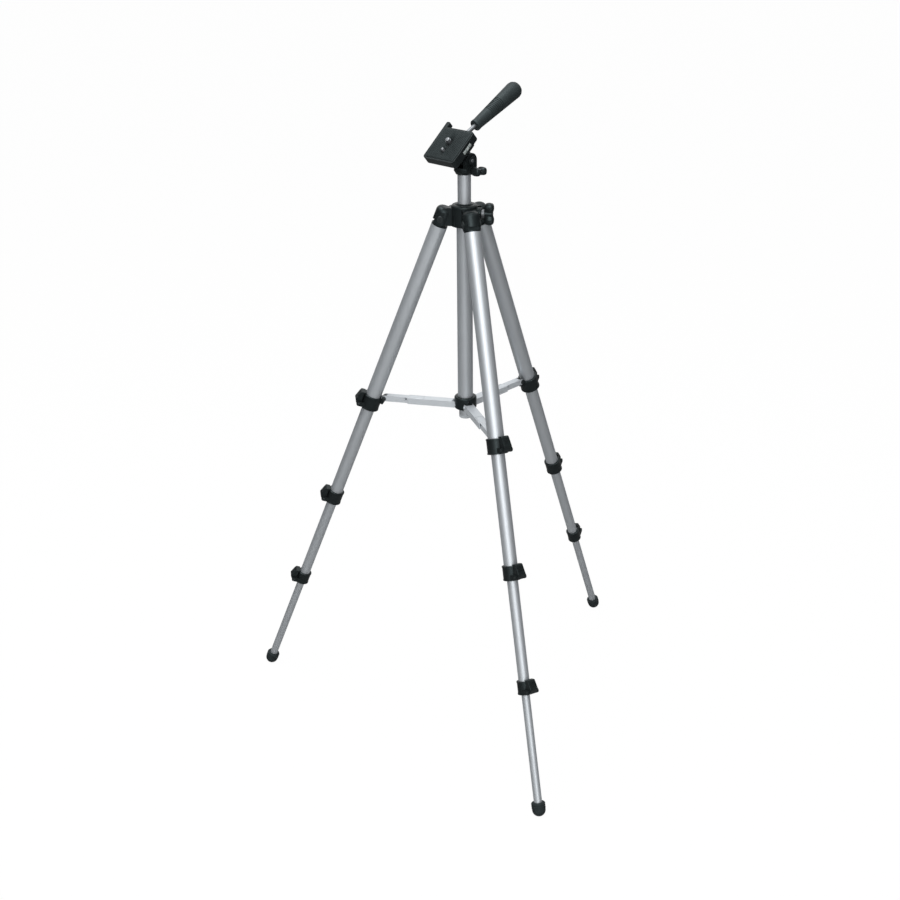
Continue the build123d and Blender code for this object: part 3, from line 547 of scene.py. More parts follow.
class Bench:
    """Models pieces with Blender's own tools and fits them to the frame."""

    def __init__(self, dresser: Dresser) -> None:
        """Work with one dresser."""
        self.dresser = dresser

    @staticmethod
    def leave() -> None:
        """Leave edit mode."""
        bpy.ops.object.mode_set(mode="OBJECT")

    def clear(self) -> None:
        """Leave edit mode and deselect everything."""
        if bpy.context.object is not None and bpy.context.object.mode != "OBJECT":
            self.leave()
        bpy.ops.object.select_all(action="DESELECT")

    def hold(self, *pieces: Piece) -> None:
        """Select pieces alone, the first one active.

        Args:
            pieces: What is selected.
        """
        self.clear()
        for piece in pieces:
            piece.select_set(True)
        bpy.context.view_layer.objects.active = pieces[0]

    @staticmethod
    def edit(kind: str = "FACE") -> None:
        """Enter edit mode with everything selected.

        Args:
            kind: What is selected: VERT, EDGE or FACE.
        """
        bpy.ops.object.mode_set(mode="EDIT")
        bpy.ops.mesh.select_mode(type=kind)
        bpy.ops.mesh.select_all(action="SELECT")

    def pick(self, kind: str, test: Callable[[Any], bool]) -> None:
        """Select in edit mode the points or faces of the active piece that pass a test.

        Args:
            kind: What is selected: VERT or FACE.
            test: Says whether a point or face is selected.
        """
        self.edit(kind)
        bpy.ops.mesh.select_all(action="DESELECT")
        self.leave()
        mesh = bpy.context.object.data
        for part in mesh.polygons if kind == "FACE" else mesh.vertices:
            part.select = test(part)
        bpy.ops.object.mode_set(mode="EDIT")

    def close(self, name: str, smooth: float = 40.0) -> Piece:
        """Finish the active piece: merged, faces outward, place in its mesh.

        Args:
            name: The piece's name.
            smooth: Angle in degrees up to which faces shade smooth.

        Returns:
            The piece.
        """
        self.edit("VERT")
        bpy.ops.mesh.remove_doubles(threshold=1e-6)
        bpy.ops.mesh.normals_make_consistent(inside=False)
        self.leave()
        bpy.ops.object.transform_apply(location=True, rotation=True, scale=True)
        bpy.ops.object.shade_smooth_by_angle(angle=math.radians(smooth))
        piece = bpy.context.object
        piece.name = name
        piece.data.name = name
        return piece

    def turned(
        self, name: str, outline: Outline, sides: int = 32, hollow: bool = False
    ) -> Piece:
        """Turn a round piece about Z by extruding a disc from step to step.

        Args:
            name: The piece's name.
            outline: Height and radius of each step, from the bottom up.
            sides: Number of sides.
            hollow: Whether the outline is the closed section of a ring.

        Returns:
            The piece.
        """
        self.clear()
        steps = list(outline) + [outline[0]] * hollow
        fill = "NOTHING" if hollow else "NGON"
        low, was = steps[0]
        bpy.ops.mesh.primitive_circle_add(
            vertices=sides, radius=was, fill_type=fill, location=(0, 0, low)
        )
        self.edit("EDGE" if hollow else "FACE")
        for high, now in steps[1:]:
            bpy.ops.mesh.extrude_region_move(TRANSFORM_OT_translate={"value": (0, 0, high - low)})
            share = now / was
            bpy.ops.transform.resize(value=(share, share, 1.0), center_override=(0, 0, high))
            low, was = high, now
        return self.close(name)

    def block(
        self, name: str, size: Triple, at: Triple = (0, 0, 0), edge: float = 0.0003
    ) -> Piece:
        """Make a block with rounded edges.

        Args:
            name: The piece's name.
            size: Its three sizes.
            at: Its middle.
            edge: Radius of its edges.

        Returns:
            The piece.
        """
        self.clear()
        bpy.ops.mesh.primitive_cube_add(size=1.0, location=at)
        self.edit()
        bpy.ops.transform.resize(value=size, center_override=at)
        self.edit("VERT")
        bpy.ops.mesh.bevel(offset=edge, segments=3, affect="EDGES")
        return self.close(name)

    def change(self, piece: Piece, kind: str, **settings: Any) -> Piece:
        """Add a modifier and apply it.

        Args:
            piece: What it works on.
            kind: The modifier's type.
            settings: Its properties.

        Returns:
            The piece.
        """
        self.hold(piece)
        bpy.ops.object.modifier_add(type=kind)
        modifier = piece.modifiers[-1]
        for key, value in settings.items():
            setattr(modifier, key, value)
        bpy.ops.object.modifier_apply(modifier=modifier.name)
        return piece

    def cut(self, piece: Piece, tool: Piece) -> None:
        """Cut a tool's shape out of a piece and throw the tool away.

        Args:
            piece: What is cut.
            tool: The shape that goes.
        """
        self.change(piece, "BOOLEAN", operation="DIFFERENCE", solver="EXACT", object=tool)
        bpy.data.objects.remove(tool)

    def join(self, name: str, *pieces: Piece) -> Piece:
        """Make several meshes one piece.

        Args:
            name: The piece's name.
            pieces: What is joined.

        Returns:
            The piece.
        """
        self.hold(*pieces)
        bpy.ops.object.join()
        pieces[0].name = name
        pieces[0].data.name = name
        return pieces[0]

    def stand(self, piece: Piece, where: Matrix) -> Piece:
        """Put a piece in its place, with the place in its mesh.

        Args:
            piece: What is placed.
            where: Its place.

        Returns:
            The piece.
        """
        self.hold(piece)
        piece.matrix_world = where
        bpy.ops.object.transform_apply(location=True, rotation=True, scale=True)
        return piece

    def copy(self, piece: Piece, name: str, where: Matrix) -> Piece:
        """Copy a piece, with a mesh of its own, to a place.

        Args:
            piece: What is copied.
            name: The copy's name.
            where: The copy's place.

        Returns:
            The copy.
        """
        self.hold(piece)
        bpy.ops.object.duplicate(linked=False)
        twin = bpy.context.object
        twin.name = name
        twin.data.name = name
        return self.stand(twin, where)

    def ends(self, piece: Piece, at: Vector, way: Vector, x_way: Vector) -> list[Piece]:
        """Copy a piece to both ends of a line, facing outwards.

        Args:
            piece: What is copied.
            at: The line's middle.
            way: From the middle to one end.
            x_way: Unit direction of the copies' X.

        Returns:
            The two copies.
        """
        places = (standing(at + way * side, x_way, way.normalized() * side) for side in BOTH_SIDES)
        return [self.copy(piece, "end", where) for where in places]

    @staticmethod
    def discard(*pieces: Piece) -> None:
        """Remove the patterns that copies were made from."""
        for piece in pieces:
            bpy.data.objects.remove(piece)

    def fit(self, piece: Piece, body: str, finish: Finish, *nodes: str) -> None:
        """Dress a piece and let it ride on a body.

        Args:
            piece: What is fitted.
            body: The CAD body it moves with.
            finish: What it wears.
            nodes: CAD nodes that it stands for.
        """
        self.dresser.wear(piece, finish)
        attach(piece, body)
        if nodes:
            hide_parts(*nodes)
        LOG.info("fitted %s on %s", piece.name, body)


@dataclass
class Assembly(ABC):
    """A group of pieces that is made on a bench."""

    bench: Bench

    @abstractmethod
    def build(self) -> None:
        """Make the group's pieces and fit them."""


@dataclass
class Collars(Assembly):
    """Lips and lever details of the flip-lock collars."""

    stations: Triple = (0.2554, 0.4033, 0.5387)
    heights: Triple = (0.0184, 0.0174, 0.0160)
    tube_radii: Triple = (0.0097, 0.0081, 0.0065)
    wall: float = 0.0021
    lip_proud: float = 0.0004
    lip_height: float = 0.0022
    lever_turn: float = 22.0
    lever_reach: float = 0.0088
    lever_top: float = 0.005
    lever_width: float = 0.011
    pivot_out: float = 0.0037
    pivot_up: float = 0.0042
    cheek_side: float = 0.00795
    rib_count: int = 4
    rib_lead: float = 0.7
    rib_room: float = 0.6
    rib_size: Pair = (0.0011, 0.0009)
    rib_edge: float = 0.00025
    rib_share: float = 0.84
    ribs_from: Pair = (0.84, 0.3)
    ribs_rise: float = 0.0006
    pin_head: Outline = ((-0.0003, 0.0017), (0.0002, 0.0017), (0.0005, 0.0013), (0.0006, 0.0006))

    def ring(self, index: int) -> float:
        """Outer radius of a collar."""
        return self.tube_radii[index] + self.wall

    def lips(self, index: int) -> Piece:
        """Bead the bottom and top edges of a collar.

        Args:
            index: The collar's place down the leg, from 0.

        Returns:
            The two beads, about the collar's middle.
        """
        height = self.heights[index]
        section = bead(-height / 2, self.lip_height, self.ring(index), self.lip_proud)
        lip = self.bench.turned("lip", section, 40, True)
        rise = moved(z=height - self.lip_height)
        return self.bench.join("lips", lip, self.bench.copy(lip, "lip", rise))

    def lever_ribs(self, index: int) -> Piece:
        """Rib the finger side of a lever.

        Args:
            index: The collar's place down the leg, from 0.

        Returns:
            The ribs, about the collar's middle, with the lever towards X.
        """
        ring, half = self.ring(index), self.heights[index] / 2
        out, up = self.ribs_from
        low = Vector((ring + out * self.lever_reach, 0.0, up * half))
        top = Vector((ring + self.lever_top, 0.0, half + self.ribs_rise))
        lean = Matrix.Rotation(-math.atan2(low.x - top.x, top.z - low.z), 4, "Y")
        thick, high = self.rib_size
        size = (thick, self.lever_width * self.rib_share, high)
        bar = self.bench.block("rib", size, edge=self.rib_edge)
        bars = []
        for step in range(self.rib_count):
            at = low.lerp(top, (step + self.rib_lead) / (self.rib_count + self.rib_room))
            bars.append(self.bench.copy(bar, "rib", moved(*at) @ lean))
        self.bench.discard(bar)
        return self.bench.join("ribs", *bars)

    def pin_heads(self, index: int) -> Piece:
        """Round heads on the lever's pivot, outside both cheeks.

        Args:
            index: The collar's place down the leg, from 0.

        Returns:
            The two heads, about the collar's middle, with the lever towards X.
        """
        head = self.bench.turned("head", self.pin_head, 20)
        out, up = self.ring(index) + self.pivot_out, self.pivot_up - self.heights[index] / 2
        way = Vector((0.0, self.cheek_side, 0.0))
        heads = self.bench.ends(head, Vector((out, 0.0, up)), way, Vector((1.0, 0.0, 0.0)))
        self.bench.discard(head)
        return self.bench.join("heads", *heads)

    def build(self) -> None:
        """Detail the collars of one size and copy the details to every leg."""
        for index, down in enumerate(self.stations):
            lips, ribs = self.lips(index), self.lever_ribs(index)
            heads = self.pin_heads(index)
            for number in LEGS:
                leg = LegFrame(number)
                straight, swung = leg.station(down), leg.station(down, self.lever_turn)
                collar, lever = (f"leg_{number}_{kind}_{index + 1}" for kind in ("collar", "lever"))
                tube = leg.body(index + 1)
                for pattern, name, where, body, finish in (
                    (lips, collar + "_lips", straight, tube, Finish.BODY),
                    (ribs, lever + "_ribs", swung, lever, Finish.LEVER),
                    (heads, collar + "_pin_heads", swung, tube, Finish.BLACK_STEEL),
                ):
                    self.bench.fit(self.bench.copy(pattern, name, where), body, finish)
            self.bench.discard(lips, ribs, heads)


@dataclass
class Feet(Assembly):
    """Tread rings of the rubber feet."""

    radius: float = 0.008
    flat: float = 0.0005
    proud: float = 0.00035
    rings: Triple = (0.0016, 0.0040, 0.0064)
    ring_height: float = 0.0015

    def build(self) -> None:
        """Ring one foot's sleeve and copy the rings to every foot."""
        section = bead(0.0, self.ring_height, self.radius, self.proud)
        ring = self.bench.turned("ring", section, 40, True)
        copies = [self.bench.copy(ring, "ring", moved(z=up)) for up in self.rings]
        rings = self.bench.join("rings", *copies)
        for number in LEGS:
            leg = LegFrame(number)
            down = (leg.hinge.z - self.radius + self.flat) / leg.along.z
            piece = self.bench.copy(rings, f"leg_{number}_foot_rings", leg.station(down))
            self.bench.fit(piece, leg.body(4), Finish.FOOT)
        self.bench.discard(ring, rings)


@dataclass
class Spreader(Assembly):
    """Rivet heads and tongues of the nested struts."""

    ear_side: float = 0.00445
    sheet_top: float = 0.0037
    tongue_width: float = 0.0089
    tongue_span: Pair = (-0.0503, -0.0272)
    tongue_thick: float = 0.0008
    tongue_sunk: float = 0.00002
    tongue_edge: float = 0.00012
    field_margin: float = 0.0016
    field_slope: float = 0.0003
    field_depth: float = 0.00012
    head: Outline = (
        (-0.0002, 0.0030), (0.0004, 0.0030), (0.0008, 0.0026), (0.00105, 0.0015), (0.0011, 0.0005)
    )

    def tongue(self) -> Piece:
        """Thin tongue with a pressed field, in the opening between two nested struts.

        Returns:
            The tongue, with the strut's outer pivot at the origin and X outwards.
        """
        first, last = self.tongue_span
        size = (last - first, self.tongue_width, self.tongue_thick)
        up = self.sheet_top - self.tongue_sunk - self.tongue_thick / 2
        plate = self.bench.block("tongue", size, ((first + last) / 2, 0.0, up), self.tongue_edge)
        self.bench.hold(plate)
        self.bench.pick("FACE", lambda face: face.normal.z > 0.99)
        bpy.ops.mesh.inset(thickness=self.field_margin)
        bpy.ops.mesh.inset(thickness=self.field_slope, depth=-self.field_depth)
        self.bench.leave()
        return plate

    def build(self) -> None:
        """Set domed rivets and a tongue on every strut."""
        rivet, plate = self.bench.turned("rivet", self.head, 24), self.tongue()
        for number in LEGS:
            strut = f"strut_{number}"
            body = strut + "_outer"
            at, way = joint_at(body + "_turn"), joint_way(body + "_turn")
            heads = self.bench.ends(rivet, at, way * self.ear_side, UP)
            self.bench.fit(self.bench.join(strut + "_rivets", *heads), body, Finish.BLACK_STEEL)
            out = Vector((at.x, at.y, 0.0)).normalized()
            tongue = self.bench.copy(plate, strut + "_tongue", standing(at, out, UP))
            self.bench.fit(tongue, body, Finish.SHEET)
        self.bench.discard(rivet, plate)


@dataclass
class WingKnob(Assembly):
    """A wing knob on its stud: ferrule, two full lobes on a boss and a screw between them.

    Radii of boss, ferrule and screw are shares of the wing's width.
    """

    name: str
    body: str
    x_way: Vector
    wing: Triple
    face: float
    stud_radius: float
    stud_tip: float
    ferrule: Finish
    neck: float = 0.004
    ease: float = 0.0003

    def lobe(self) -> Piece:
        """Shape one lobe of the wing from a block.

        Returns:
            The lobe, on the side of X.
        """
        length, width, depth = self.wing
        at = (length * 0.26, 0.0, self.face + self.neck + depth / 2)
        size = (length * 0.56, width * 1.12, depth * 1.12)
        self.bench.clear()
        bpy.ops.mesh.primitive_cube_add(size=1.0, location=at)
        self.bench.edit()
        bpy.ops.mesh.subdivide(number_cuts=3)
        bpy.ops.transform.tosphere(value=0.62)
        bpy.ops.transform.resize(value=size, center_override=at)
        self.bench.pick("VERT", lambda point: point.co.x < -0.06 * length)
        bpy.ops.transform.resize(value=(1.0, 0.72, 0.86), center_override=at)
        self.bench.leave()
        shaped = self.bench.change(bpy.context.object, "SUBSURF", levels=2, render_levels=2)
        self.bench.hold(shaped)
        return self.bench.close(self.name + "_lobe", 180.0)

    def build(self) -> None:
        """Join stud, boss and lobes, and put ferrule and screw on them."""
        width, depth = self.wing[1], self.wing[2]
        foot = self.face + self.neck
        sunk, rim = foot + depth * 0.84, foot + depth * 0.96
        low, high = self.face + self.ease, foot - self.ease
        stem = (
            (self.stud_tip, self.stud_radius * 0.8),
            (self.stud_tip + 0.0006, self.stud_radius),
            (self.face, self.stud_radius),
            (self.face, width * 0.46),
            (foot, width * 0.46),
            (foot, width * 0.5),
            (rim - 0.0008, width * 0.48),
            (rim, width * 0.4),
            (rim, width * 0.26),
            (sunk, width * 0.22),
        )
        collar = (
            (low, width * 0.45),
            (low, width * 0.56),
            (high - 2 * self.ease, width * 0.56),
            (high, width * 0.5),
            (high, width * 0.45),
        )
        cap = (
            (sunk - 2 * self.ease, width * 0.2),
            (sunk + 0.0004, width * 0.2),
            (sunk + 0.0008, width * 0.14),
        )
        lobe = self.lobe()
        parts = [self.bench.turned(self.name + "_stem", stem, 36), lobe]
        parts.append(self.bench.copy(lobe, "lobe", Matrix.Rotation(math.pi, 4, "Z")))
        knob = self.bench.join(self.name + "_shaped", *parts)
        joint = self.body + "_turn"
        where = standing(joint_at(joint), self.x_way, joint_way(joint))
        self.bench.fit(self.bench.stand(knob, where), self.body, Finish.LEVER, self.name)
        ferrule = self.bench.turned(self.name + "_ferrule", collar, 36, True)
        self.bench.fit(self.bench.stand(ferrule, where), self.body, self.ferrule)
        screw = self.bench.turned(self.name + "_screw", cap, 24)
        self.bench.fit(self.bench.stand(screw, where), self.body, Finish.STEEL)


@dataclass
class Crown(Assembly):
    """Bushing, hinge pin heads and lock knob of the crown."""

    top: float = 0.6613
    column_radius: float = 0.0078
    bushing_gap: float = 0.00012
    bushing_radius: float = 0.0104
    bushing_seat: float = 0.001
    bushing_land: float = 0.0004
    bushing_rise: float = 0.0013
    bushing_slope: float = 0.0009
    bushing_lead: float = 0.0005
    cheek: float = 0.0103
    pin_head: Outline = (
        (-0.0016, 0.0040), (0.0002, 0.0040), (0.0008, 0.0034), (0.0008, 0.0019), (-0.0006, 0.0016)
    )

    def bushing(self) -> None:
        """Ring around the column on top of the crown."""
        bore, radius = self.column_radius + self.bushing_gap, self.bushing_radius
        high = self.top + self.bushing_rise
        section = (
            (self.top - self.bushing_seat, bore),
            (self.top - self.bushing_seat, radius),
            (self.top + self.bushing_land, radius),
            (high, radius - self.bushing_slope),
            (high, bore + self.bushing_lead),
            (high - self.bushing_lead, bore),
        )
        self.bench.fit(self.bench.turned("crown_bushing", section, 48, True), "crown", Finish.LEVER)

    def pin_heads(self) -> None:
        """Socket-headed ends of the three hinge pins."""
        pattern = self.bench.turned("pin_head", self.pin_head, 30)
        heads = []
        for number in LEGS:
            leg = LegFrame(number)
            heads += self.bench.ends(pattern, leg.hinge, leg.sideways * self.cheek, leg.along)
        self.bench.discard(pattern)
        self.bench.fit(self.bench.join("crown_pin_heads", *heads), "crown", Finish.BLACK_STEEL)

    def build(self) -> None:
        """Make the crown's details."""
        self.bushing()
        self.pin_heads()
        WingKnob(
            self.bench,
            name="column_lock_knob",
            body="column_knob",
            x_way=UP,
            wing=(0.0225, 0.009, 0.009),
            face=0.0208,
            stud_radius=0.003,
            stud_tip=0.0084,
            ferrule=Finish.STEEL,
        ).build()


@dataclass
class Head(Assembly):
    """Ring, axle heads and pan knob of the head."""

    fork_outer: float = 0.0121
    ring_radius: float = 0.0116
    ring_up: float = -0.0129
    ring_height: float = 0.0016
    ring_proud: float = 0.0004
    cap: Outline = (
        (0.0002, 0.0050), (0.0016, 0.0050), (0.0022, 0.0045), (0.0022, 0.0031), (0.0014, 0.0028)
    )
    screw: Outline = ((0.0010, 0.0024), (0.0018, 0.0024), (0.0021, 0.0020), (0.0022, 0.0008))

    def ring(self) -> None:
        """Bead around the foot of the head."""
        low = joint_at("tilt_turn").z + self.ring_up
        section = bead(low, self.ring_height, self.ring_radius, self.ring_proud)
        self.bench.fit(self.bench.turned("head_foot_ring", section, 48, True), "pan", Finish.LEVER)

    def axle_heads(self) -> None:
        """Dished heads on both ends of the tilt axle."""
        at, way = joint_at("tilt_turn"), joint_way("tilt_turn") * self.fork_outer
        cap = self.bench.turned("cap", self.cap, 32)
        screw = self.bench.turned("screw", self.screw, 24)
        caps, screws = (self.bench.ends(pattern, at, way, UP) for pattern in (cap, screw))
        self.bench.discard(cap, screw)
        self.bench.fit(self.bench.join("tilt_axle_caps", *caps), "tilt", Finish.LEVER)
        self.bench.fit(self.bench.join("tilt_axle_screws", *screws), "tilt", Finish.STEEL)

    def build(self) -> None:
        """Make the head's details."""
        self.ring()
        self.axle_heads()
        WingKnob(
            self.bench,
            name="pan_lock_knob",
            body="pan_knob",
            x_way=joint_way("pan_knob_turn").cross(UP),
            wing=(0.015, 0.0075, 0.0095),
            face=0.0153,
            stud_radius=0.0025,
            stud_tip=0.0102,
            ferrule=Finish.LEVER,
        ).build()


@dataclass
class Platform(Assembly):
    """Pad, camera screw, locating pin and level on the platform."""

    top: float = 0.0324
    thick: float = 0.0114
    length: float = 0.045
    width: float = 0.0494
    forward: float = 0.0057
    margin: float = 0.002
    pad_thick: float = 0.001
    sheet_thick: float = 0.0006
    sheet_edge: float = 0.00025
    rib_pitch: float = 0.0023
    rib_share: float = 0.55
    rib_height: float = 0.0008
    rib_edge: float = 0.00022
    rib_clear: float = 0.0008
    gap: float = 0.0003
    screw_at: float = 0.0027
    screw_radius: float = 0.003175
    screw_neck: float = 0.0027
    screw_standout: float = 0.0052
    screw_tip: Pair = (0.0004, 0.0005)
    neck_rise: float = 0.0002
    wheel_radius: float = 0.0086
    wheel_height: float = 0.0046
    wheel_edge: float = 0.0005
    wheel_sides: int = 64
    knurl_margin: float = 0.00012
    knurl_depth: float = 0.0004
    thread_pitch: float = 0.00127
    thread_depth: float = 0.00045
    thread_ridge: float = 0.0005
    thread_from: float = 0.0009
    thread_short: float = 0.0008
    thread_steps: int = 32
    pin_ahead: float = 0.0123
    pin_radius: float = 0.002
    pin_standout: float = 0.0036
    pin_flange: float = 0.003
    pin_flange_height: float = 0.0016
    pin_dome: Outline = ((-0.0012, 1.0), (-0.0005, 0.85), (-0.0001, 0.5), (0.0, 0.15))
    vial_radius: float = 0.0025
    vial_length: float = 0.0145
    vial_end: float = 0.0006
    vial_back: float = 0.0028
    vial_down: float = 0.0065
    vial_standout: float = 0.0011
    mark_span: Pair = (0.0024, 0.0029)
    mark_proud: float = 0.00012
    mark_sunk: float = 0.0002
    bubble_in: float = 0.00128
    bubble: Outline = (
        (-0.0019, 0.0003), (-0.0016, 0.0010), (-0.0008, 0.0014),
        (0.0008, 0.0014), (0.0016, 0.0010), (0.0019, 0.0003),
    )
    place: Matrix = field(init=False)

    def __post_init__(self) -> None:
        """Read the tilted frame: X along the lens, Z out of the pad."""
        normal = joint_way("screw_turn")
        lens = joint_way("tilt_turn").cross(normal)
        self.place = standing(joint_at("tilt_turn"), lens, normal)

    def pad(self) -> None:
        """Ribbed rubber pad with holes for the screw and the pin."""
        long, wide = self.length - 2 * self.margin, self.width - 2 * self.margin
        floor = self.top - self.pad_thick
        middle = (self.forward, 0.0, floor + self.sheet_thick / 2)
        sheet = self.bench.block("sheet", (long, wide, self.sheet_thick), middle, self.sheet_edge)
        count = int(wide / self.rib_pitch) - 1
        first = -self.rib_pitch * (count - 1) / 2
        size = (long - 2 * self.rib_height, self.rib_pitch * self.rib_share, self.rib_height)
        middle = (self.forward, first, self.top - self.rib_height / 2)
        rib = self.bench.block("rib", size, middle, self.rib_edge)
        self.bench.change(
            rib,
            "ARRAY",
            count=count,
            use_relative_offset=False,
            use_constant_offset=True,
            constant_offset_displace=(0.0, self.rib_pitch, 0.0),
        )
        for ahead, bore in ((0.0, self.screw_radius), (self.pin_ahead, self.pin_radius)):
            for part, clear in ((sheet, 0.0), (rib, self.rib_clear)):
                reach = bore + self.gap + clear
                outline = ((floor - self.margin, reach), (self.top + self.margin, reach))
                drill = self.bench.turned("drill", outline, 32)
                self.bench.cut(part, self.bench.stand(drill, moved(self.screw_at + ahead)))
        piece = self.bench.join("platform_pad_ribbed", sheet, rib)
        self.bench.fit(self.bench.stand(piece, self.place), "tilt", Finish.PAD, "platform_pad")

    def on_knurl(self, face: bpy.types.MeshPolygon) -> bool:
        """Whether a face is one of every second on the rim of the screw's wheel.

        Args:
            face: A face of the upright screw.

        Returns:
            True if it is.
        """
        x, y, _ = face.center
        around = math.atan2(y, x) / (2 * math.pi) * self.wheel_sides
        on_rim = abs(face.normal.z) < 0.2 and math.hypot(x, y) > self.wheel_radius * 0.97
        return on_rim and round(around - 0.5) % 2 == 0

    def screw(self) -> None:
        """Camera screw: knurled wheel, plain neck and threaded end."""
        low, rim, edge = self.top - self.thick + self.gap, self.wheel_radius, self.wheel_edge
        high, neck = low + self.wheel_height, self.top + self.neck_rise
        root, tip = self.screw_radius - self.thread_depth, self.top + self.screw_standout
        outline = (
            (low, rim - edge),
            (low + edge, rim),
            (high - edge, rim),
            (high, rim - edge),
            (high, self.screw_neck),
            (neck, self.screw_neck),
            (neck, root),
            (tip - self.screw_tip[0], root),
            (tip, root - self.screw_tip[1]),
        )
        core = self.bench.turned("core", outline, self.wheel_sides)
        self.bench.hold(core)
        self.bench.pick("FACE", self.on_knurl)
        bpy.ops.mesh.inset(
            thickness=self.knurl_margin, depth=-self.knurl_depth, use_individual=True
        )
        self.bench.leave()
        piece = self.bench.join("camera_screw_threaded", core, self.thread(tip))
        self.bench.stand(piece, self.place @ moved(self.screw_at))
        self.bench.fit(piece, "screw", Finish.STEEL, "camera_screw")

    def thread(self, tip: float) -> Piece:
        """Wind a ridge round the screw.

        Args:
            tip: Height of the screw's end.

        Returns:
            The ridge.
        """
        self.bench.clear()
        start = self.top + self.thread_from
        bpy.ops.mesh.primitive_circle_add(vertices=3, radius=self.thread_ridge)
        self.bench.edit("VERT")
        bpy.ops.transform.rotate(value=math.pi / 2, orient_axis="X", center_override=(0, 0, 0))
        ridge = bpy.context.object
        self.bench.leave()
        crest = max(point.co.x for point in ridge.data.vertices)
        self.bench.edit("VERT")
        bpy.ops.transform.translate(value=(self.screw_radius - crest, 0.0, start))
        self.bench.leave()
        self.bench.change(
            ridge,
            "SCREW",
            axis="Z",
            angle=2 * math.pi,
            screw_offset=self.thread_pitch,
            iterations=int((tip - start - self.thread_short) / self.thread_pitch),
            steps=self.thread_steps,
            render_steps=self.thread_steps,
            use_merge_vertices=True,
        )
        self.bench.hold(ridge)
        return self.bench.close("thread")

    def locator(self) -> None:
        """Spring pin with a domed tip, ahead of the screw."""
        low, tip = self.top - self.thick + self.pin_standout, self.top + self.pin_standout
        shoulder = low + self.pin_flange_height
        outline = [(low, self.pin_flange), (shoulder, self.pin_flange), (shoulder, self.pin_radius)]
        outline += [(tip + up, self.pin_radius * share) for up, share in self.pin_dome]
        pin = self.bench.turned("locating_pin_domed", outline, 28)
        self.bench.stand(pin, self.place @ moved(self.screw_at + self.pin_ahead))
        self.bench.fit(pin, "locator", Finish.STEEL, "locating_pin")

    def along_lens(self, left: float) -> Matrix:
        """Place in the vial's middle, Z along the lens.

        Args:
            left: How much further to the left it lies, in metres.

        Returns:
            A matrix with X to the left of the lens.
        """
        side = self.width / 2 + self.vial_standout - self.vial_radius
        at = Vector((self.forward - self.vial_back, side + left, self.top - self.vial_down))
        lens, leftwards = (self.place.to_3x3().col[axis] for axis in (0, 1))
        return standing(self.place @ at, leftwards, lens)

    def vial(self) -> None:
        """Level: a clear vial with its bubble between two marks."""
        half, radius, end = self.vial_length / 2, self.vial_radius, self.vial_end
        outline = (
            (-half, radius - end), (end - half, radius), (half - end, radius), (half, radius - end)
        )
        near, far = self.mark_span
        inside, out = radius - self.mark_sunk, radius + self.mark_proud
        section = ((-far, inside), (-far, out), (-near, out), (-near, inside))
        tube = self.bench.turned("level_vial_filled", outline, 32)
        mark = self.bench.turned("mark", section, 32, True)
        other = self.bench.copy(mark, "mark", moved(z=near + far))
        marks = self.bench.join("level_vial_marks", mark, other)
        bubble = self.bench.turned("level_vial_bubble", self.bubble, 24)
        aside = self.along_lens(radius - self.bubble_in)
        self.bench.fit(self.bench.stand(bubble, aside), "tilt", Finish.BUBBLE)
        where = self.along_lens(0.0)
        self.bench.fit(self.bench.stand(tube, where), "tilt", Finish.VIAL, "level_vial")
        self.bench.fit(self.bench.stand(marks, where), "tilt", Finish.MARK)

    def build(self) -> None:
        """Make what the platform carries."""
        self.pad()
        self.screw()
        self.locator()
        self.vial()


@dataclass
class Handle(Assembly):
    """Ribbed grip of the handle."""

    start: float = 0.041
    end: float = 0.121
    near: float = 0.0065
    far: float = 0.0102
    bore: float = 0.0026
    lip: float = 0.0003
    lip_steps: Triple = (0.0004, 0.003, 0.004)
    groove: float = 0.0006
    ribs: int = 9
    rib_span: Pair = (0.30, 0.62)
    rib_form: Outline = ((0.0, 0.0), (0.12, 1.0), (0.38, 1.0), (0.5, 0.0))
    nose: float = 0.009
    nose_turns: Sequence[float] = (20.0, 40.0, 60.0, 78.0, 88.0)

    def outline(self) -> list[Pair]:
        """Tapered outline with a lip, a ribbed stretch and a rounded end.

        Returns:
            Height and radius of each step.
        """
        edge, land, foot = (self.start + step for step in self.lip_steps)
        steps = [
            (self.start, self.bore),
            (self.start, self.near),
            (edge, self.near + self.lip),
            (land, self.near + self.lip),
            (foot, self.near),
        ]
        shoulder = self.end - self.nose

        def taper(share: float) -> Pair:
            """Place and radius along the straight taper."""
            return foot + (shoulder - foot) * share, self.near + (self.far - self.near) * share

        first, last = self.rib_span
        pitch = (last - first) / self.ribs
        for rib in range(self.ribs):
            for part, sunk in self.rib_form:
                up, radius = taper(first + pitch * (rib + part))
                steps.append((up, radius - sunk * self.groove))
        steps.append(taper(1.0))
        for turn in self.nose_turns:
            swing = math.radians(turn)
            steps.append((shoulder + self.nose * math.sin(swing), self.far * math.cos(swing)))
        return steps

    def build(self) -> None:
        """Turn the grip and put it on the rod."""
        grip = self.bench.turned("handle_grip_ribbed", self.outline(), 48)
        at, way = joint_at("handle_twist"), joint_way("handle_twist")
        self.bench.stand(grip, standing(at, joint_way("tilt_turn"), way))
        self.bench.fit(grip, "handle", Finish.GRIP, "handle_grip")


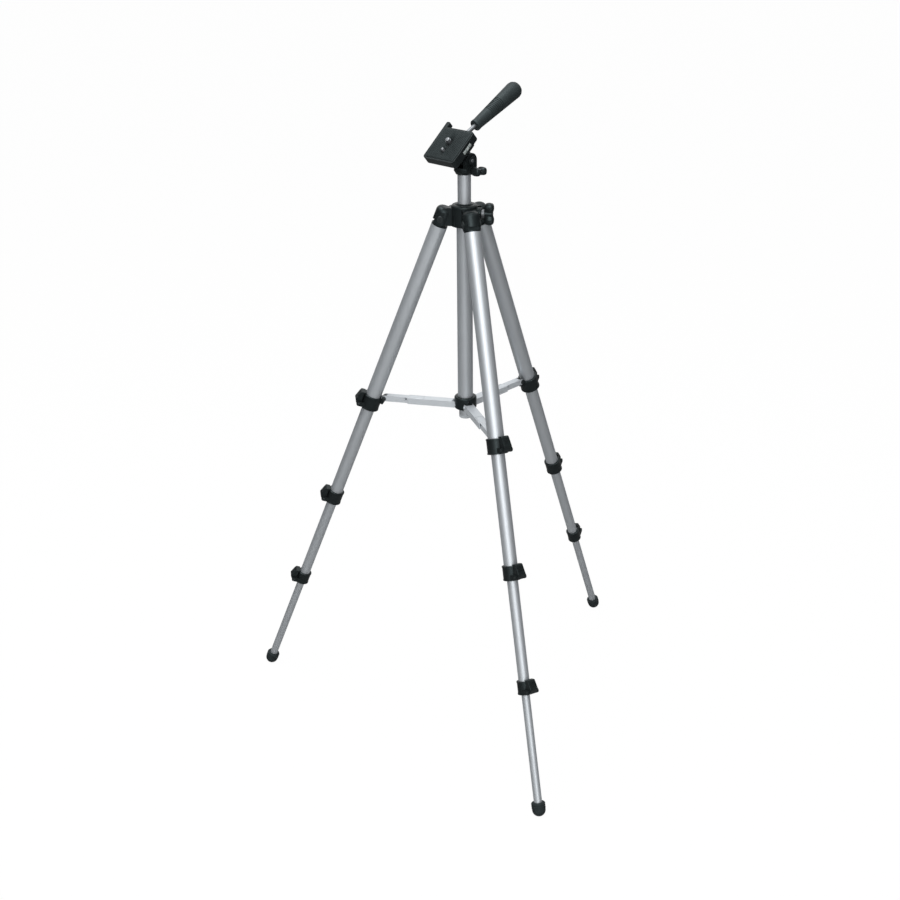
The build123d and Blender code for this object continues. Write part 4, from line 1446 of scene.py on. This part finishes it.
@dataclass(frozen=True)
class Lamp:
    """A soft rectangular lamp, sized in metres, with its power in watts."""

    name: str
    at: Triple
    size: Pair
    power: float
    aim: Triple = (0.0, 0.0, 0.45)

    def hang(self) -> None:
        """Hang the lamp, unseen by the camera."""
        data = bpy.data.lights.new(self.name, "AREA")
        data.shape = "RECTANGLE"
        data.size, data.size_y = self.size
        data.energy = self.power
        shown = bpy.data.objects.new(self.name, data)
        shown.visible_camera = False
        shown.location = self.at
        towards = Vector(self.aim) - Vector(self.at)
        shown.rotation_euler = towards.to_track_quat("-Z", "Y").to_euler()
        bpy.context.scene.collection.objects.link(shown)


@dataclass
class Studio:
    """Floor, light and the camera of the photograph."""

    camera_at: Triple = (-0.4534, -1.4529, 1.0325)
    turn: float = math.radians(-17.35)
    yaw: float = math.radians(-0.76)
    pitch: float = math.radians(24.151)
    roll: float = math.radians(-0.63)
    lens: float = 53.38
    sensor: float = 36.0
    clip_end: float = 100.0
    ambient: float = 0.4
    lamps: Sequence[Lamp] = (
        Lamp("key_softbox", (-0.95, -2.2, 1.75), (1.5, 1.8), 46.0),
        Lamp("top_softbox", (-0.3, 0.1, 2.3), (1.2, 1.2), 34.0),
        Lamp("low_card", (-0.06, -1.1, 0.04), (0.34, 0.6), 2.4),
    )
    floor_size: float = 80.0
    floor_down: float = 0.0004
    floor_level: float = 0.9
    floor_glow: float = 0.98
    mirrored: float = 0.23
    flag_at: Triple = (1.1, 0.25, 0.66)
    flag_size: Pair = (1.3, 2.4)
    flag_colour: Colour = (0.10, 0.105, 0.11, 1.0)

    def camera(self) -> None:
        """Place the camera where the photograph was taken from."""
        data = bpy.data.cameras.new("photo_camera")
        data.lens = self.lens
        data.sensor_width = self.sensor
        data.clip_end = self.clip_end
        level, down = math.cos(self.pitch), math.sin(self.pitch)
        ahead = Vector((math.sin(self.yaw) * level, math.cos(self.yaw) * level, -down))
        right = ahead.cross(UP).normalized()
        above = right.cross(ahead)
        x_axis = right * math.cos(self.roll) + above * math.sin(self.roll)
        spin = Matrix.Rotation(self.turn, 4, "Z")
        shown = bpy.data.objects.new("photo_camera", data)
        shown.matrix_world = moved(*self.camera_at) @ spin @ standing(Vector(), x_axis, -ahead)
        bpy.context.scene.collection.objects.link(shown)
        bpy.context.scene.camera = shown

    def lights(self) -> None:
        """Hang the lamps and make the pale surroundings."""
        for lamp in self.lamps:
            lamp.hang()
        tree = ShaderTree(bpy.data.worlds.new("studio"))
        bpy.context.scene.world = tree.owner
        seen = (tree.path("Camera") + tree.path("Glossy") + tree.path("Transmission")).clamped()
        power = self.ambient + seen * (1.0 - self.ambient)
        inputs = {"Color": tinted(1.0), "Strength": power}
        tree.output(tree.node("ShaderNodeBackground", {}, inputs, "Background"), "World")

    def floor(self) -> None:
        """Lay the white floor under the feet; it keeps a soft shadow."""
        bpy.ops.object.select_all(action="DESELECT")
        bpy.ops.mesh.primitive_plane_add(size=self.floor_size, location=(0, 0, -self.floor_down))
        plane = bpy.context.object
        plane.name = "floor"
        tree = ShaderTree.material("floor_white")
        camera, mirror = tree.path("Camera"), tree.path("Glossy") + tree.path("Transmission")
        seen = (camera + mirror).clamped()
        power = (camera + mirror * self.mirrored).clamped()
        inputs = {"Color": tinted(self.floor_level)}
        matt = tree.node("ShaderNodeBsdfDiffuse", {}, inputs, "BSDF")
        inputs = {"Color": tinted(1.0), "Strength": power}
        glow = tree.node("ShaderNodeEmission", {}, inputs, "Emission")
        inputs = {0: seen * self.floor_glow, 1: matt, 2: glow}
        tree.output(tree.node("ShaderNodeMixShader", {}, inputs, "Shader"))
        plane.data.materials.append(tree.owner)

    def flags(self) -> None:
        """Stand dim panels beside the tripod, for the darker edges of its tubes."""
        out, back, up = self.flag_at
        swing = Matrix.Rotation(self.turn, 4, "Z")
        upright = Matrix.Rotation(math.pi / 2, 4, "Y")
        sized = Matrix.Diagonal((*self.flag_size, 1.0, 1.0))
        for name, side in zip(("flag_left", "flag_right"), BOTH_SIDES):
            bpy.ops.object.select_all(action="DESELECT")
            bpy.ops.mesh.primitive_plane_add(size=1.0)
            panel = bpy.context.object
            panel.name = name
            panel.matrix_world = swing @ moved(side * out, back, up) @ upright @ sized
            tree = ShaderTree.material(name + "_grey")
            inputs = {"Color": self.flag_colour}
            tree.output(tree.node("ShaderNodeBsdfDiffuse", {}, inputs, "BSDF"))
            panel.data.materials.append(tree.owner)
            panel.visible_camera = False
            panel.visible_shadow = False
            panel.visible_diffuse = False

    def build(self) -> None:
        """Set up the studio."""
        bpy.context.scene.view_settings.view_transform = "Standard"
        self.camera()
        self.lights()
        self.floor()
        self.flags()


def main() -> None:
    """Build the scene in order."""
    logging.basicConfig(level=logging.INFO)
    Studio().build()
    dresser = Dresser()
    dresser.dress_nodes()
    bench = Bench(dresser)
    for kind in (Collars, Feet, Spreader, Crown, Head, Platform, Handle):
        kind(bench).build()
        LOG.info("finished %s", kind.__name__)


if __name__ == "__main__":
    main()
